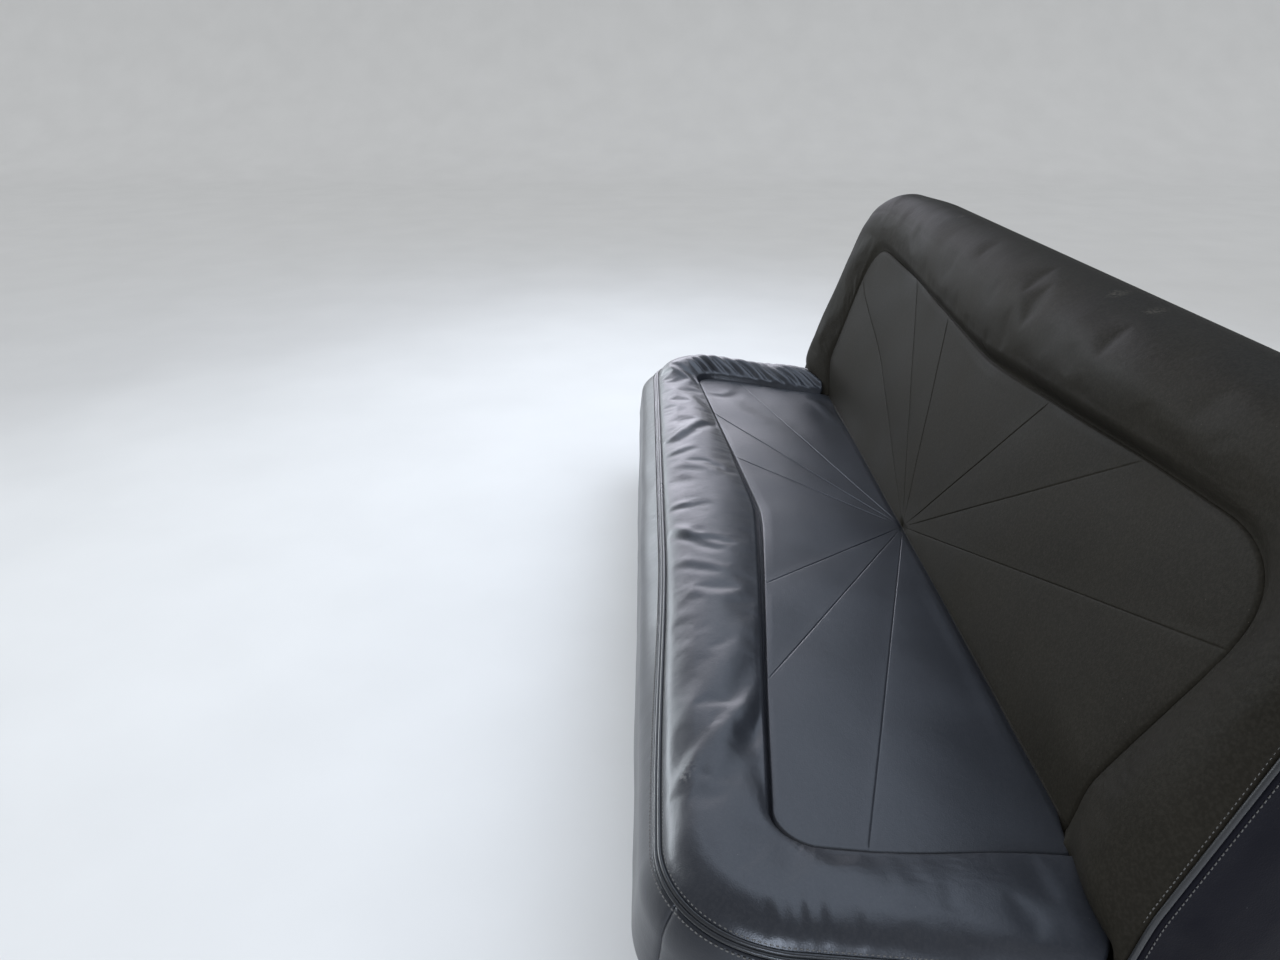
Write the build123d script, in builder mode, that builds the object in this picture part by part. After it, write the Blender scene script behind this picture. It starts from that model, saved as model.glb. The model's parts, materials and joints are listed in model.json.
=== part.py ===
"""Upholstered side bench of a limousine lounge: a radial fan of seams over seat and back."""
import os
from math import cos, radians, sin, tan

from build123d import *

os.makedirs("parts", exist_ok=True)

# Overall sizes in millimetres: X runs along the bench, the front faces -Y, Z is up
bench_length = 2010.0
bench_height = 812.0
seat_height = 352.0
seat_depth = 500.0
seat_slope = 6.0
back_lean = 19.5

# Seat cushion, measured back along its sloping top
boxing_bulge = 32.0
boxing_height = 126.0
boxing_crown_round = 26.0
boxing_hem_round = 13.0
seat_corner_radius = 130.0
corner_seam_angle = 32.0
seat_foam = 112.0
seat_edge_round = 30.0
border_end_width = 102.0
border_middle_width = 185.0
border_side_width = 150.0
inset_drop = 10.0
inset_corner_radius = 45.0
inset_edge_round = 8.0
welt_diameter = 8.0
welt_facets = 8

# Back cushion, measured up its leaning front plane from the crease
back_foam = 95.0
back_tail = 190.0
back_proud = 46.0
back_edge_round = 8.0
back_corner_radius = 110.0
back_roll_radius = 85.0
back_vertex_height = 346.0
back_shoulder_height = 405.0
back_flare = 57.0
back_inset_corner_radius = 75.0
back_end_inset = 22.0
side_panel_thickness = 10.0
side_panel_round = 40.0

# Fan of sewn seams: every seam starts at the middle of the crease
seam_width = 7.0
seam_depth = 5.0
seat_seam_middle_share = 0.333
seat_seam_outer_share = 0.66
seat_seam_side_offset = 110.0
back_seam_middle_share = 0.30
back_seam_outer_share = 0.61
back_seam_side_height = 303.0

# Plywood carcass
board = 15.0
panel = 18.0
kick_recess = 36.0
foot_margin = 15.0
block_size = 40.0
rib_count = 3
rib_window_length = 190.0
rib_window_height = 90.0
rib_window_radius = 25.0
rib_window_centre = 100.0
gusset_count = 4
gusset_end_margin = 97.0
gusset_top_width = 41.0
gusset_hole_centre = 130.0
gusset_hole_diameter = 100.0
back_board_margin = 36.0
wall_clearance = 2.0

# Steel angles that hold the bench to the floor and the wall
angle_leg = 45.0
angle_thickness = 4.0
angle_bend_radius = 5.0
floor_angle_width = 60.0
wall_angle_width = 110.0
bolt_hole_diameter = 11.0
bolt_hole_reach = 27.0
floor_angle_clearance = 6.0
wall_bolt_spacing = 60.0
wall_angle_drop = 100.0

# Clearance between padded pieces, and between padding and wood
gap = 0.4

# Derived directions
slope_sin = sin(radians(seat_slope))
slope_cos = cos(radians(seat_slope))
lean_sin = sin(radians(back_lean))
lean_cos = cos(radians(back_lean))
lean_tan = tan(radians(back_lean))

# Derived places of the seat: the crease is where its inset meets the back
half_length = bench_length / 2
welt_half = half_length - boxing_bulge
welt_radius = welt_diameter / 2
hem_drop = seat_edge_round + boxing_height - boxing_hem_round
front_lean = hem_drop * slope_sin + boxing_hem_round * (1 - slope_cos)
seat_origin_z = seat_height + (boxing_bulge + seat_edge_round) * slope_sin
fan_reach = (seat_depth - front_lean + inset_drop * slope_sin) / slope_cos
crease_z = seat_origin_z - fan_reach * slope_sin - inset_drop * slope_cos
inset_half = welt_half - border_side_width
inset_front_end = boxing_bulge + border_end_width
inset_front_middle = boxing_bulge + border_middle_width
corner_x = welt_half - seat_corner_radius
corner_reach = boxing_bulge + seat_corner_radius
carcass_height = seat_origin_z - seat_foam

# Derived places of the back, up from the crease and out from its front plane
back_half = half_length - back_end_inset - side_panel_thickness
back_shoulder_half = inset_half + back_flare
back_edge = back_proud - back_edge_round
roll_centre_depth = back_proud - back_roll_radius
roll_rear_radius = back_foam + roll_centre_depth
back_top = (
    back_roll_radius
    + (bench_height - crease_z - back_roll_radius - roll_centre_depth * lean_sin) / lean_cos
)
side_top = back_top - back_corner_radius
board_half = back_half - back_board_margin
board_top = back_top - back_board_margin

# Derived depths: the top of the back board stands just clear of the wall
bench_depth = seat_depth + board_top * lean_sin + (back_foam + board) * lean_cos + wall_clearance
front_y = -bench_depth / 2
wall_y = bench_depth / 2
crease_y = front_y + seat_depth
base_half = half_length - kick_recess
base_corner_radius = seat_corner_radius + boxing_bulge - kick_recess
base_corner_reach = kick_recess + base_corner_radius
base_depth = seat_depth + (back_foam + board) / lean_cos - seat_foam * lean_tan + foot_margin
base_rear_y = front_y + base_depth
seat_rear = (base_depth - front_lean + seat_foam * slope_sin) / slope_cos

floor_plane = Plane((0, front_y, 0))
seat_plane = Plane(
    origin=(0, front_y + front_lean, seat_origin_z),
    x_dir=(1, 0, 0),
    z_dir=(0, slope_sin, slope_cos),
)
back_plane = Plane(
    origin=(0, crease_y, crease_z),
    x_dir=(1, 0, 0),
    z_dir=(0, -lean_cos, lean_sin),
)
back_foot_plane = Plane(
    back_plane.from_local_coords(Vector(0, -back_tail, 0)),
    x_dir=(-1, 0, 0),
    z_dir=back_plane.y_dir,
)
seat_normal = Axis((0, 0, 0), seat_plane.z_dir)


def save(builder, name):
    """Label a finished piece and write its file."""
    builder.part.label = name
    export_step(builder.part, f"parts/{name}.step")


def half_space(plane):
    """A large block on the side of a plane that its normal points to."""
    size = 3 * bench_length
    return plane * Pos(0, 0, size / 2) * Box(size, size, size)


def short_of(plane, distance):
    """Everything less far along a plane's normal than a distance."""
    flipped = Plane(plane.offset(distance).origin, x_dir=plane.x_dir, z_dir=-plane.z_dir)
    return half_space(flipped)


def board_rear(height):
    """Place along Y of the back board's rear face at a height above the floor."""
    return crease_y + (height - crease_z) * lean_tan + (back_foam + board) / lean_cos


def across(x):
    """Upright section plane across the bench: its axes run to the rear and up."""
    return Plane((x, 0, 0), x_dir=(0, 1, 0), z_dir=(1, 0, 0))


def end_plane(x):
    """Section plane across the bench: its axes run up the back and out of its front."""
    origin = back_plane.from_local_coords(Vector(x, 0, 0))
    return Plane(origin, x_dir=back_plane.y_dir, z_dir=(1, 0, 0))


def rounded_front(half, front, corner, rear):
    """Plan with two rounded front corners, square at the rear."""
    with BuildSketch() as outline:
        with BuildLine():
            Line((half, front + corner), (half, rear))
            Line((half, rear), (-half, rear))
            Line((-half, rear), (-half, front + corner))
            RadiusArc((-half, front + corner), (-half + corner, front), -corner)
            Line((-half + corner, front), (half - corner, front))
            RadiusArc((half - corner, front), (half, front + corner), -corner)
        make_face()
    return outline.sketch


def seat_outline(grow):
    """Plan of the seat at the welt line moved outwards by grow."""
    front = boxing_bulge - grow
    return rounded_front(welt_half + grow, front, seat_corner_radius + grow, seat_rear)


def base_outline(inset):
    """Plan of the base box moved inwards by inset."""
    front = kick_recess + inset
    return rounded_front(base_half - inset, front, base_corner_radius - inset, base_depth)


def seat_inset_outline(grow):
    """Plan of the seat's inset, with its front edge drawn back to a shallow V."""
    with BuildSketch() as outline:
        with BuildLine():
            Polyline(
                (-inset_half, seat_rear),
                (-inset_half, inset_front_end),
                (0, inset_front_middle),
                (inset_half, inset_front_end),
                (inset_half, seat_rear),
                close=True,
            )
        make_face()
        fillet(outline.vertices().group_by(Axis.Y)[0], inset_corner_radius)
        if grow:
            offset(amount=grow, kind=Kind.INTERSECTION)
    return outline.sketch


def back_inset_outline(grow):
    """Face of the back's inset, flaring up to two shoulders with a shallow V between."""
    with BuildSketch() as outline:
        with BuildLine():
            Polyline(
                (-inset_half, -back_tail),
                (-inset_half, 0),
                (-back_shoulder_half, back_shoulder_height),
                (0, back_vertex_height),
                (back_shoulder_half, back_shoulder_height),
                (inset_half, 0),
                (inset_half, -back_tail),
                close=True,
            )
        make_face()
        fillet(outline.vertices().group_by(Axis.Y)[-1], back_inset_corner_radius)
        if grow:
            offset(amount=grow, kind=Kind.INTERSECTION)
    return outline.sketch


def back_outline(margin):
    """Face of the whole back, drawn in by a margin and rounded at its two top corners."""
    half = back_half - margin
    with BuildSketch() as outline:
        with BuildLine():
            Polyline(
                (-half, -back_tail),
                (-half, back_top - margin),
                (half, back_top - margin),
                (half, -back_tail),
                close=True,
            )
        make_face()
        fillet(outline.vertices().group_by(Axis.Y)[-1], back_corner_radius - margin)
    return outline.sketch


def back_plan(grow):
    """Section of the back seen along its lean, with its two front edges rounded."""
    half = back_half + grow
    with BuildSketch() as outline:
        with BuildLine():
            Polyline(
                (-half, -back_foam),
                (-half, back_proud + grow),
                (half, back_proud + grow),
                (half, -back_foam),
                close=True,
            )
        make_face()
        fillet(outline.vertices().group_by(Axis.Y)[-1], back_edge_round + grow)
    return outline.sketch


def fan_groove(surface, start, end):
    """A V groove along a straight line between two points of a surface plane."""
    start_point = surface.from_local_coords(Vector(*start))
    end_point = surface.from_local_coords(Vector(*end))
    run = end_point - start_point
    with BuildPart() as groove:
        with BuildSketch(Plane(start_point, x_dir=surface.z_dir.cross(run), z_dir=run)):
            with BuildLine():
                Polyline(
                    (-seam_width, seam_depth),
                    (0, -seam_depth),
                    (seam_width, seam_depth),
                    close=True,
                )
            make_face()
        extrude(amount=run.length)
    return groove.part


def angle_bracket(section, width, places):
    """A bent steel angle: its first leg lies along the section's x and has the bolt holes."""
    flat = Plane(section.origin, x_dir=section.z_dir, z_dir=section.y_dir)
    with BuildPart() as angle:
        with BuildSketch(section):
            with BuildLine():
                Polyline(
                    (0, 0),
                    (angle_leg, 0),
                    (angle_leg, angle_thickness),
                    (angle_thickness, angle_thickness),
                    (angle_thickness, angle_leg),
                    (0, angle_leg),
                    close=True,
                )
            make_face()
        extrude(amount=width / 2, both=True)
        bends = angle.edges().filter_by(Axis(section.origin, section.z_dir))
        fillet(bends.sort_by_distance(section.origin)[0], angle_bend_radius)
        with BuildSketch(flat):
            with Locations(*[(place, bolt_hole_reach) for place in places]):
                Circle(bolt_hole_diameter / 2)
        extrude(amount=angle_thickness, mode=Mode.SUBTRACT)
    return angle


above_carcass = half_space(seat_plane.offset(-seat_foam - board))
below_back_foam = short_of(seat_plane, -seat_foam + gap)
below_back_board = short_of(seat_plane, -seat_foam)
below_boxing = short_of(seat_plane, -seat_edge_round - boxing_height)
behind_back_face = short_of(back_plane, gap)
behind_back_roll = short_of(back_plane, back_proud + gap)
behind_back_edge = short_of(back_plane, back_edge + gap)

# Seat border: the padded roll along the front and round both ends
with BuildPart() as seat_border:
    with BuildSketch(seat_plane):
        add(seat_outline(0))
    extrude(amount=-seat_foam)
    fillet(seat_border.faces().sort_by(seat_normal)[-1].edges(), seat_edge_round)
    with BuildSketch(seat_plane):
        add(seat_inset_outline(gap))
    extrude(amount=-seat_foam, mode=Mode.SUBTRACT)
    top_edges = seat_border.faces().sort_by(seat_normal)[-1].edges()
    inner_edges = [
        edge
        for edge in top_edges
        if abs(edge.center().X) < inset_half
        and seat_plane.to_local_coords(edge.center()).Y > inset_front_end - gap
    ]
    fillet(inner_edges, inset_edge_round)
    add(behind_back_roll, mode=Mode.SUBTRACT)
save(seat_border, "seat_border")

# Seat inset: the sunken panel with its fan of seams
inset_plane = seat_plane.offset(-inset_drop)
seat_seam_ends = []
for side in (-1, 1):
    for share in (seat_seam_middle_share, seat_seam_outer_share):
        seam_reach = inset_front_middle + share * (inset_front_end - inset_front_middle)
        seat_seam_ends.append((side * share * inset_half, seam_reach, 0))
    seat_seam_ends.append((side * inset_half, inset_front_end + seat_seam_side_offset, 0))
with BuildPart() as seat_inset:
    with BuildSketch(inset_plane):
        add(seat_inset_outline(0))
    extrude(amount=inset_drop - seat_foam)
    add(behind_back_face, mode=Mode.SUBTRACT)
    sewn_edges = seat_inset.faces().sort_by(seat_normal)[-1].edges().sort_by(Axis.Y)[:-1]
    fillet(sewn_edges, inset_edge_round)
    for seam_end in seat_seam_ends:
        add(fan_groove(inset_plane, (0, fan_reach, 0), seam_end), mode=Mode.SUBTRACT)
save(seat_inset, "seat_inset")

# Boxing: the bulging band below the welt, sewn in three lengths
with BuildPart() as back_space:
    with BuildSketch(back_foot_plane):
        add(back_plan(gap))
    extrude(amount=back_tail + back_top)
with BuildPart() as boxing:
    with BuildSketch(seat_plane.offset(-seat_edge_round - gap)):
        add(seat_outline(boxing_bulge))
        add(seat_outline(gap), mode=Mode.SUBTRACT)
    extrude(amount=gap - boxing_height)
    rims = boxing.faces().sort_by(seat_normal)
    for rim, rounding in ((rims[-1], boxing_crown_round), (rims[0], boxing_hem_round)):
        outer_edges = [
            edge
            for edge in rim.edges()
            if abs((edge @ 0.5).X) > welt_half + welt_radius
            or seat_plane.to_local_coords(edge @ 0.5).Y < boxing_bulge - welt_radius
        ]
        fillet(outer_edges, rounding)
    add(back_space.part, mode=Mode.SUBTRACT)
    add(behind_back_edge, mode=Mode.SUBTRACT)
beyond_seam = {}
for side in (-1, 1):
    turn = radians(corner_seam_angle)
    seam_normal = seat_plane.x_dir * (side * cos(turn)) + seat_plane.y_dir * sin(turn)
    corner_centre = seat_plane.from_local_coords(Vector(side * corner_x, corner_reach, 0))
    beyond_seam[side] = half_space(Plane(corner_centre, x_dir=seat_plane.z_dir, z_dir=seam_normal))
with BuildPart() as boxing_front:
    add(boxing.part)
    for side in (-1, 1):
        add(beyond_seam[side], mode=Mode.SUBTRACT)
save(boxing_front, "boxing_front")
for side, end_name in ((1, "near"), (-1, "far")):
    with BuildPart() as boxing_end:
        add(boxing.part)
        add(beyond_seam[side], mode=Mode.INTERSECT)
    save(boxing_end, f"boxing_{end_name}")

# Seat welt: the cord sewn in between the border and the boxing
welt_side = welt_half + welt_radius + gap
welt_front = boxing_bulge - welt_radius - gap
welt_turn = seat_corner_radius + welt_radius + gap
with BuildPart() as seat_welt:
    with BuildLine(seat_plane.offset(welt_radius - seat_edge_round)) as welt_path:
        Line((welt_side, fan_reach), (welt_side, welt_front + welt_turn))
        RadiusArc((welt_side, welt_front + welt_turn), (welt_side - welt_turn, welt_front), welt_turn)
        Line((welt_side - welt_turn, welt_front), (-welt_side + welt_turn, welt_front))
        RadiusArc((-welt_side + welt_turn, welt_front), (-welt_side, welt_front + welt_turn), welt_turn)
        Line((-welt_side, welt_front + welt_turn), (-welt_side, fan_reach))
    with BuildSketch(welt_path.line ^ 0):
        RegularPolygon(welt_radius, welt_facets)
    sweep()
    add(behind_back_roll, mode=Mode.SUBTRACT)
save(seat_welt, "seat_welt")

# Back border: the padded roll over the top and down both ends
with BuildPart() as back_border:
    with BuildSketch(end_plane(-back_half)):
        with BuildLine():
            Line((-back_tail, -back_foam), (-back_tail, back_proud))
            Line((-back_tail, back_proud), (back_top - back_roll_radius, back_proud))
            RadiusArc(
                (back_top - back_roll_radius, back_proud),
                (back_top, roll_centre_depth),
                back_roll_radius,
            )
            RadiusArc(
                (back_top, roll_centre_depth),
                (back_top - roll_rear_radius, -back_foam),
                roll_rear_radius,
            )
            Line((back_top - roll_rear_radius, -back_foam), (-back_tail, -back_foam))
        make_face()
    extrude(amount=2 * back_half)
    with BuildSketch(back_plane.offset(-back_foam)):
        add(back_outline(0))
    extrude(amount=back_foam + back_proud, mode=Mode.INTERSECT)
    with BuildSketch(back_foot_plane):
        add(back_plan(0))
    extrude(amount=back_tail + back_top, mode=Mode.INTERSECT)
    with BuildSketch(back_plane.offset(-back_foam)):
        add(back_inset_outline(gap))
    extrude(amount=back_foam + back_proud, mode=Mode.SUBTRACT)
    add(below_back_foam, mode=Mode.SUBTRACT)
save(back_border, "back_border")

# Back inset: the sunken panel that carries the fan on up the back
back_seam_ends = []
for side in (-1, 1):
    for share in (back_seam_middle_share, back_seam_outer_share):
        seam_rise = back_vertex_height + share * (back_shoulder_height - back_vertex_height)
        back_seam_ends.append((side * share * back_shoulder_half, seam_rise, 0))
    flare = back_flare * back_seam_side_height / back_shoulder_height
    back_seam_ends.append((side * (inset_half + flare), back_seam_side_height, 0))
with BuildPart() as back_inset:
    with BuildSketch(back_plane):
        add(back_inset_outline(0))
    extrude(amount=-back_foam)
    add(below_back_foam, mode=Mode.SUBTRACT)
    for seam_end in back_seam_ends:
        add(fan_groove(back_plane, (0, 0, 0), seam_end), mode=Mode.SUBTRACT)
save(back_inset, "back_inset")

# End panels of the back, each with a welt round its front and top edge
welt_face = back_edge - welt_radius
welt_top = side_top - welt_radius
for side, end_name in ((1, "near"), (-1, "far")):
    panel_x = back_half if side > 0 else -back_half - side_panel_thickness
    with BuildPart() as side_panel:
        with BuildSketch(end_plane(panel_x)):
            with BuildLine():
                Polyline(
                    (-back_tail, -back_foam - board),
                    (-back_tail, welt_face - welt_radius - gap),
                    (welt_top - welt_radius - gap, welt_face - welt_radius - gap),
                    (welt_top - welt_radius - gap, -back_foam - board),
                    close=True,
                )
            make_face()
            fillet(vertices().group_by(Axis.X)[-1], side_panel_round)
        extrude(amount=side_panel_thickness)
        add(below_boxing, mode=Mode.SUBTRACT)
    save(side_panel, f"back_side_{end_name}")

    welt_bend = side_panel_round + welt_radius + gap
    with BuildPart() as back_welt:
        with BuildLine(end_plane(side * (back_half + welt_radius + gap))) as edge_path:
            Line((-back_tail, welt_face), (welt_top - welt_bend, welt_face))
            RadiusArc((welt_top - welt_bend, welt_face), (welt_top, welt_face - welt_bend), welt_bend)
            Line((welt_top, welt_face - welt_bend), (welt_top, -back_foam + welt_bend))
        with BuildSketch(edge_path.line ^ 0):
            RegularPolygon(welt_radius, welt_facets)
        sweep()
        add(below_boxing, mode=Mode.SUBTRACT)
    save(back_welt, f"back_welt_{end_name}")

# Plywood boards behind and below the cushions
with BuildPart() as back_board:
    with BuildSketch(back_plane.offset(-back_foam)):
        add(back_outline(back_board_margin))
    extrude(amount=-board)
    add(below_back_board, mode=Mode.SUBTRACT)
save(back_board, "back_board")

with BuildPart() as seat_board:
    with BuildSketch(seat_plane.offset(-seat_foam)):
        add(seat_outline(0))
    extrude(amount=-board)
save(seat_board, "seat_board")

# Base box: front, rear and end panels with two bent corner posts
with BuildPart() as base_front:
    with BuildSketch(floor_plane):
        with Locations((0, kick_recess + panel / 2)):
            Rectangle(2 * (base_half - base_corner_radius), panel)
    extrude(amount=carcass_height)
    add(above_carcass, mode=Mode.SUBTRACT)
save(base_front, "base_front")

with BuildPart() as base_rear:
    with BuildSketch(floor_plane):
        with Locations((0, base_depth - panel / 2)):
            Rectangle(2 * (base_half - panel), panel)
    extrude(amount=carcass_height)
    add(above_carcass, mode=Mode.SUBTRACT)
save(base_rear, "base_rear")

for side, end_name in ((1, "near"), (-1, "far")):
    with BuildPart() as base_end:
        with BuildSketch(floor_plane):
            with Locations((side * (base_half - panel / 2), (base_corner_reach + base_depth) / 2)):
                Rectangle(panel, base_depth - base_corner_reach)
        extrude(amount=carcass_height)
        add(above_carcass, mode=Mode.SUBTRACT)
    save(base_end, f"base_end_{end_name}")

    with BuildPart() as base_corner:
        with BuildSketch(floor_plane):
            add(base_outline(0))
            add(base_outline(panel), mode=Mode.SUBTRACT)
            with Locations((side * (base_half - base_corner_radius / 2), base_corner_reach / 2)):
                Rectangle(base_corner_radius, base_corner_reach, mode=Mode.INTERSECT)
        extrude(amount=carcass_height)
        add(above_carcass, mode=Mode.SUBTRACT)
    save(base_corner, f"base_corner_{end_name}")

with BuildPart() as corner_blocks:
    with BuildSketch(floor_plane):
        block_x = base_half - panel - block_size / 2
        block_reach = base_depth - panel - block_size / 2
        with Locations((-block_x, block_reach), (block_x, block_reach)):
            Rectangle(block_size, block_size)
    extrude(amount=carcass_height)
    add(above_carcass, mode=Mode.SUBTRACT)
save(corner_blocks, "base_corner_blocks")

# Ribs across the base box, evenly spaced, each with a rounded window
rib_length = base_depth - kick_recess - 2 * panel
rib_y = front_y + kick_recess + panel + rib_length / 2
rib_spacing = 2 * base_half / (rib_count + 1)
for number in range(rib_count):
    with BuildPart() as rib:
        with BuildSketch(across((number + 1) * rib_spacing - base_half)):
            with Locations((rib_y, carcass_height / 2)):
                Rectangle(rib_length, carcass_height)
            with Locations((rib_y, rib_window_centre)):
                RectangleRounded(
                    rib_window_length, rib_window_height, rib_window_radius, mode=Mode.SUBTRACT
                )
        extrude(amount=panel / 2, both=True)
        add(above_carcass, mode=Mode.SUBTRACT)
    save(rib, f"base_rib_{number + 1}")

# Gussets that prop the leaning back board from the floor to the wall
outer_gusset = board_half - gusset_end_margin
gusset_spacing = 2 * outer_gusset / (gusset_count - 1)
prop_start = crease_z + (base_rear_y - board_rear(crease_z)) / lean_tan
gusset_top = crease_z + (wall_y - gusset_top_width - board_rear(crease_z)) / lean_tan
for number in range(gusset_count):
    with BuildPart() as gusset:
        with BuildSketch(across(number * gusset_spacing - outer_gusset)):
            with BuildLine():
                Polyline(
                    (base_rear_y, 0),
                    (base_rear_y, prop_start),
                    (wall_y - gusset_top_width, gusset_top),
                    (wall_y, gusset_top),
                    (wall_y, 0),
                    close=True,
                )
            make_face()
            with Locations(((base_rear_y + wall_y) / 2, gusset_hole_centre)):
                Circle(gusset_hole_diameter / 2, mode=Mode.SUBTRACT)
        extrude(amount=panel / 2, both=True)
    save(gusset, f"back_gusset_{number + 1}")

# Steel angles: four inside the base box, two on the outer gussets
angle_inset = floor_angle_clearance + floor_angle_width / 2
floor_angle_reach = {
    "front": base_corner_reach + angle_inset,
    "rear": base_depth - panel - block_size - angle_inset,
}
wall_angle_height = gusset_top - wall_angle_drop
for side, end_name in ((1, "near"), (-1, "far")):
    for row_name, reach in floor_angle_reach.items():
        foot = (side * (base_half - panel), front_y + reach, 0)
        floor_angle = angle_bracket(
            Plane(foot, x_dir=(-side, 0, 0), z_dir=(0, side, 0)), floor_angle_width, [0]
        )
        save(floor_angle, f"floor_angle_{end_name}_{row_name}")
    corner = (side * (outer_gusset - panel / 2), wall_y, wall_angle_height)
    wall_angle = angle_bracket(
        Plane(corner, x_dir=(-side, 0, 0), z_dir=(0, 0, side)),
        wall_angle_width,
        [-wall_bolt_spacing / 2, wall_bolt_spacing / 2],
    )
    save(wall_angle, f"wall_angle_{end_name}")
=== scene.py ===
"""Leather side bench of a limousine lounge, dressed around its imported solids."""

import json
import math

import bpy
import numpy as np
from mathutils import Matrix, Vector

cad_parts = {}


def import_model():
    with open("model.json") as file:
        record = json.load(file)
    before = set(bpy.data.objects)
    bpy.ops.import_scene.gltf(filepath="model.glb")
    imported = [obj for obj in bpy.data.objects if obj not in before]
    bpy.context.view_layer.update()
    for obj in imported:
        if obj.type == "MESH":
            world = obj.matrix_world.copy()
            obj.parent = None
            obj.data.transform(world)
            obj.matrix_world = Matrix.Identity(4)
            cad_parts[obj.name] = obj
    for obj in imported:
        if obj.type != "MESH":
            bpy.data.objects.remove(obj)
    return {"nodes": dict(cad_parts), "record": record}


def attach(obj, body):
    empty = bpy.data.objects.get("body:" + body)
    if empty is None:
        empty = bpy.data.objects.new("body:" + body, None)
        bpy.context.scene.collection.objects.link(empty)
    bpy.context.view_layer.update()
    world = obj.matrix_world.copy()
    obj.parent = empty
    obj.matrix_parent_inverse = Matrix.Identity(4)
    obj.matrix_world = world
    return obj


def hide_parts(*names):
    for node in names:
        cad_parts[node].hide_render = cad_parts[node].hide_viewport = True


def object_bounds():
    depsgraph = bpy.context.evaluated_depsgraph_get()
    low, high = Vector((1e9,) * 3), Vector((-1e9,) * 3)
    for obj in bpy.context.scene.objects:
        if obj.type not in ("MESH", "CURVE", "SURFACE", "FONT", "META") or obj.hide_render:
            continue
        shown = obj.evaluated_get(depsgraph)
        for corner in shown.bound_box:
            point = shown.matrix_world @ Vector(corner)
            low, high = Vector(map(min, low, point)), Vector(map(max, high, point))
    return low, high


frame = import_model()
cad_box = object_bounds()

# Sizes in millimetres; meshes are made in metres
MM = 0.001
SEAT_SLOPE = math.radians(6.0)
BACK_LEAN = math.radians(19.5)
BOXING_BULGE = 32.0
SEAT_CORNER = 130.0
INSET_CORNER = 45.0
INSET_FRONT_END = 134.0
INSET_FRONT_MIDDLE = 217.0
INSET_SIDE_WIDTH = 150.0
INSET_DROP = 10.0
WELT_DROP = 26.0
BOXING_FOOT = 156.0
CORNER_SEAM_ANGLE = 58.0
BACK_PROUD = 46.0
BACK_EDGE_ROUND = 8.0
BACK_CORNER = 110.0
BACK_ROLL = 85.0
BACK_VERTEX = 346.0
BACK_SHOULDER = 405.0
BACK_FLARE = 57.0
BACK_FOAM = 95.0
BACK_FOOT_DROP = 111.0
SEAT_SEAM_SHARES = (0.333, 0.66)
SEAT_SEAM_SIDE = INSET_FRONT_END + 110.0
BACK_SEAM_SHARES = (0.30, 0.61)
BACK_SEAM_SIDE = 303.0

# Rounder here than on the solids, because the padded cover is soft at its corners
BACK_INSET_CORNER = 120.0
SIDE_PANEL_ROUND = 55.0

# How far the end bolsters of the back stand out where they rest on the seat
BOLSTER_REST = 20.0

# Wear of the real bench: how far its cover has crept and swelled past a new one's shape
NEAR_CREEP = 18.0
NEAR_PULL = 7.0
NEAR_FLARE = 20.0
FAR_TAPER = 38.0
NEAR_TAPER = 50.0
FAR_SAG = 12.0
FRONT_SLACK = 6.0
FAR_ROLL_RISE = 22.0
BOLSTER_SWELL = 20.0
INSET_SWELL = 24.0

X_AXIS = np.array([1.0, 0.0, 0.0])
SEAT_UP = np.array([0.0, math.cos(SEAT_SLOPE), -math.sin(SEAT_SLOPE)])
SEAT_OUT = np.array([0.0, math.sin(SEAT_SLOPE), math.cos(SEAT_SLOPE)])
BACK_UP = np.array([0.0, math.sin(BACK_LEAN), math.cos(BACK_LEAN)])
BACK_OUT = np.array([0.0, -math.cos(BACK_LEAN), math.sin(BACK_LEAN)])


def mesh_points(mesh):
    """Points of a mesh in metres, one a row."""
    points = np.empty(len(mesh.vertices) * 3)
    mesh.vertices.foreach_get("co", points)
    return points.reshape(-1, 3)


def extent(node, direction):
    """Lowest and highest place of a CAD node along a direction, in millimetres."""
    places = mesh_points(frame["nodes"][node].data) @ direction / MM
    return places.min(), places.max()


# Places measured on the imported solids
HALF_LENGTH = cad_box[1].x / MM
SEAT_TOP = extent("seat_border", SEAT_OUT)[1]
SEAT_FRONT = extent("boxing_front", SEAT_UP)[0]
BACK_FACE = extent("back_inset", BACK_OUT)[1]
BACK_TOP_PLACE = extent("back_border", BACK_UP)[1]
BACK_HALF = extent("back_border", X_AXIS)[1]
WELT_HALF = HALF_LENGTH - BOXING_BULGE
INSET_HALF = WELT_HALF - INSET_SIDE_WIDTH
SHOULDER_HALF = INSET_HALF + BACK_FLARE
BACK_EDGE = BACK_PROUD - BACK_EDGE_ROUND
CREASE = np.linalg.solve(
    np.array([X_AXIS, SEAT_OUT, BACK_OUT]), np.array([0.0, SEAT_TOP - INSET_DROP, BACK_FACE])
)
FAN_REACH = CREASE @ SEAT_UP - SEAT_FRONT
BORDER_REACH = FAN_REACH - BOLSTER_REST
BACK_TOP = BACK_TOP_PLACE - CREASE @ BACK_UP
SIDE_TOP = BACK_TOP - BACK_CORNER
SEAT_ORIGIN = SEAT_FRONT * SEAT_UP + SEAT_TOP * SEAT_OUT
FAN_ANGLE_COS = math.cos(BACK_LEAN - SEAT_SLOPE)
FAN_ANGLE_SIN = math.sin(BACK_LEAN - SEAT_SLOPE)


def on_plane(origin, up, out, x, s, n):
    """Point from its place along the bench, up a sloped plane and out of it."""
    x, s, n = np.broadcast_arrays(x, s, n)
    return origin + x[..., None] * X_AXIS + s[..., None] * up + n[..., None] * out


def on_seat(x, s, n):
    """Point from its place along the bench, back from the front and above the seat's top."""
    return on_plane(SEAT_ORIGIN, SEAT_UP, SEAT_OUT, x, s, n)


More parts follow.
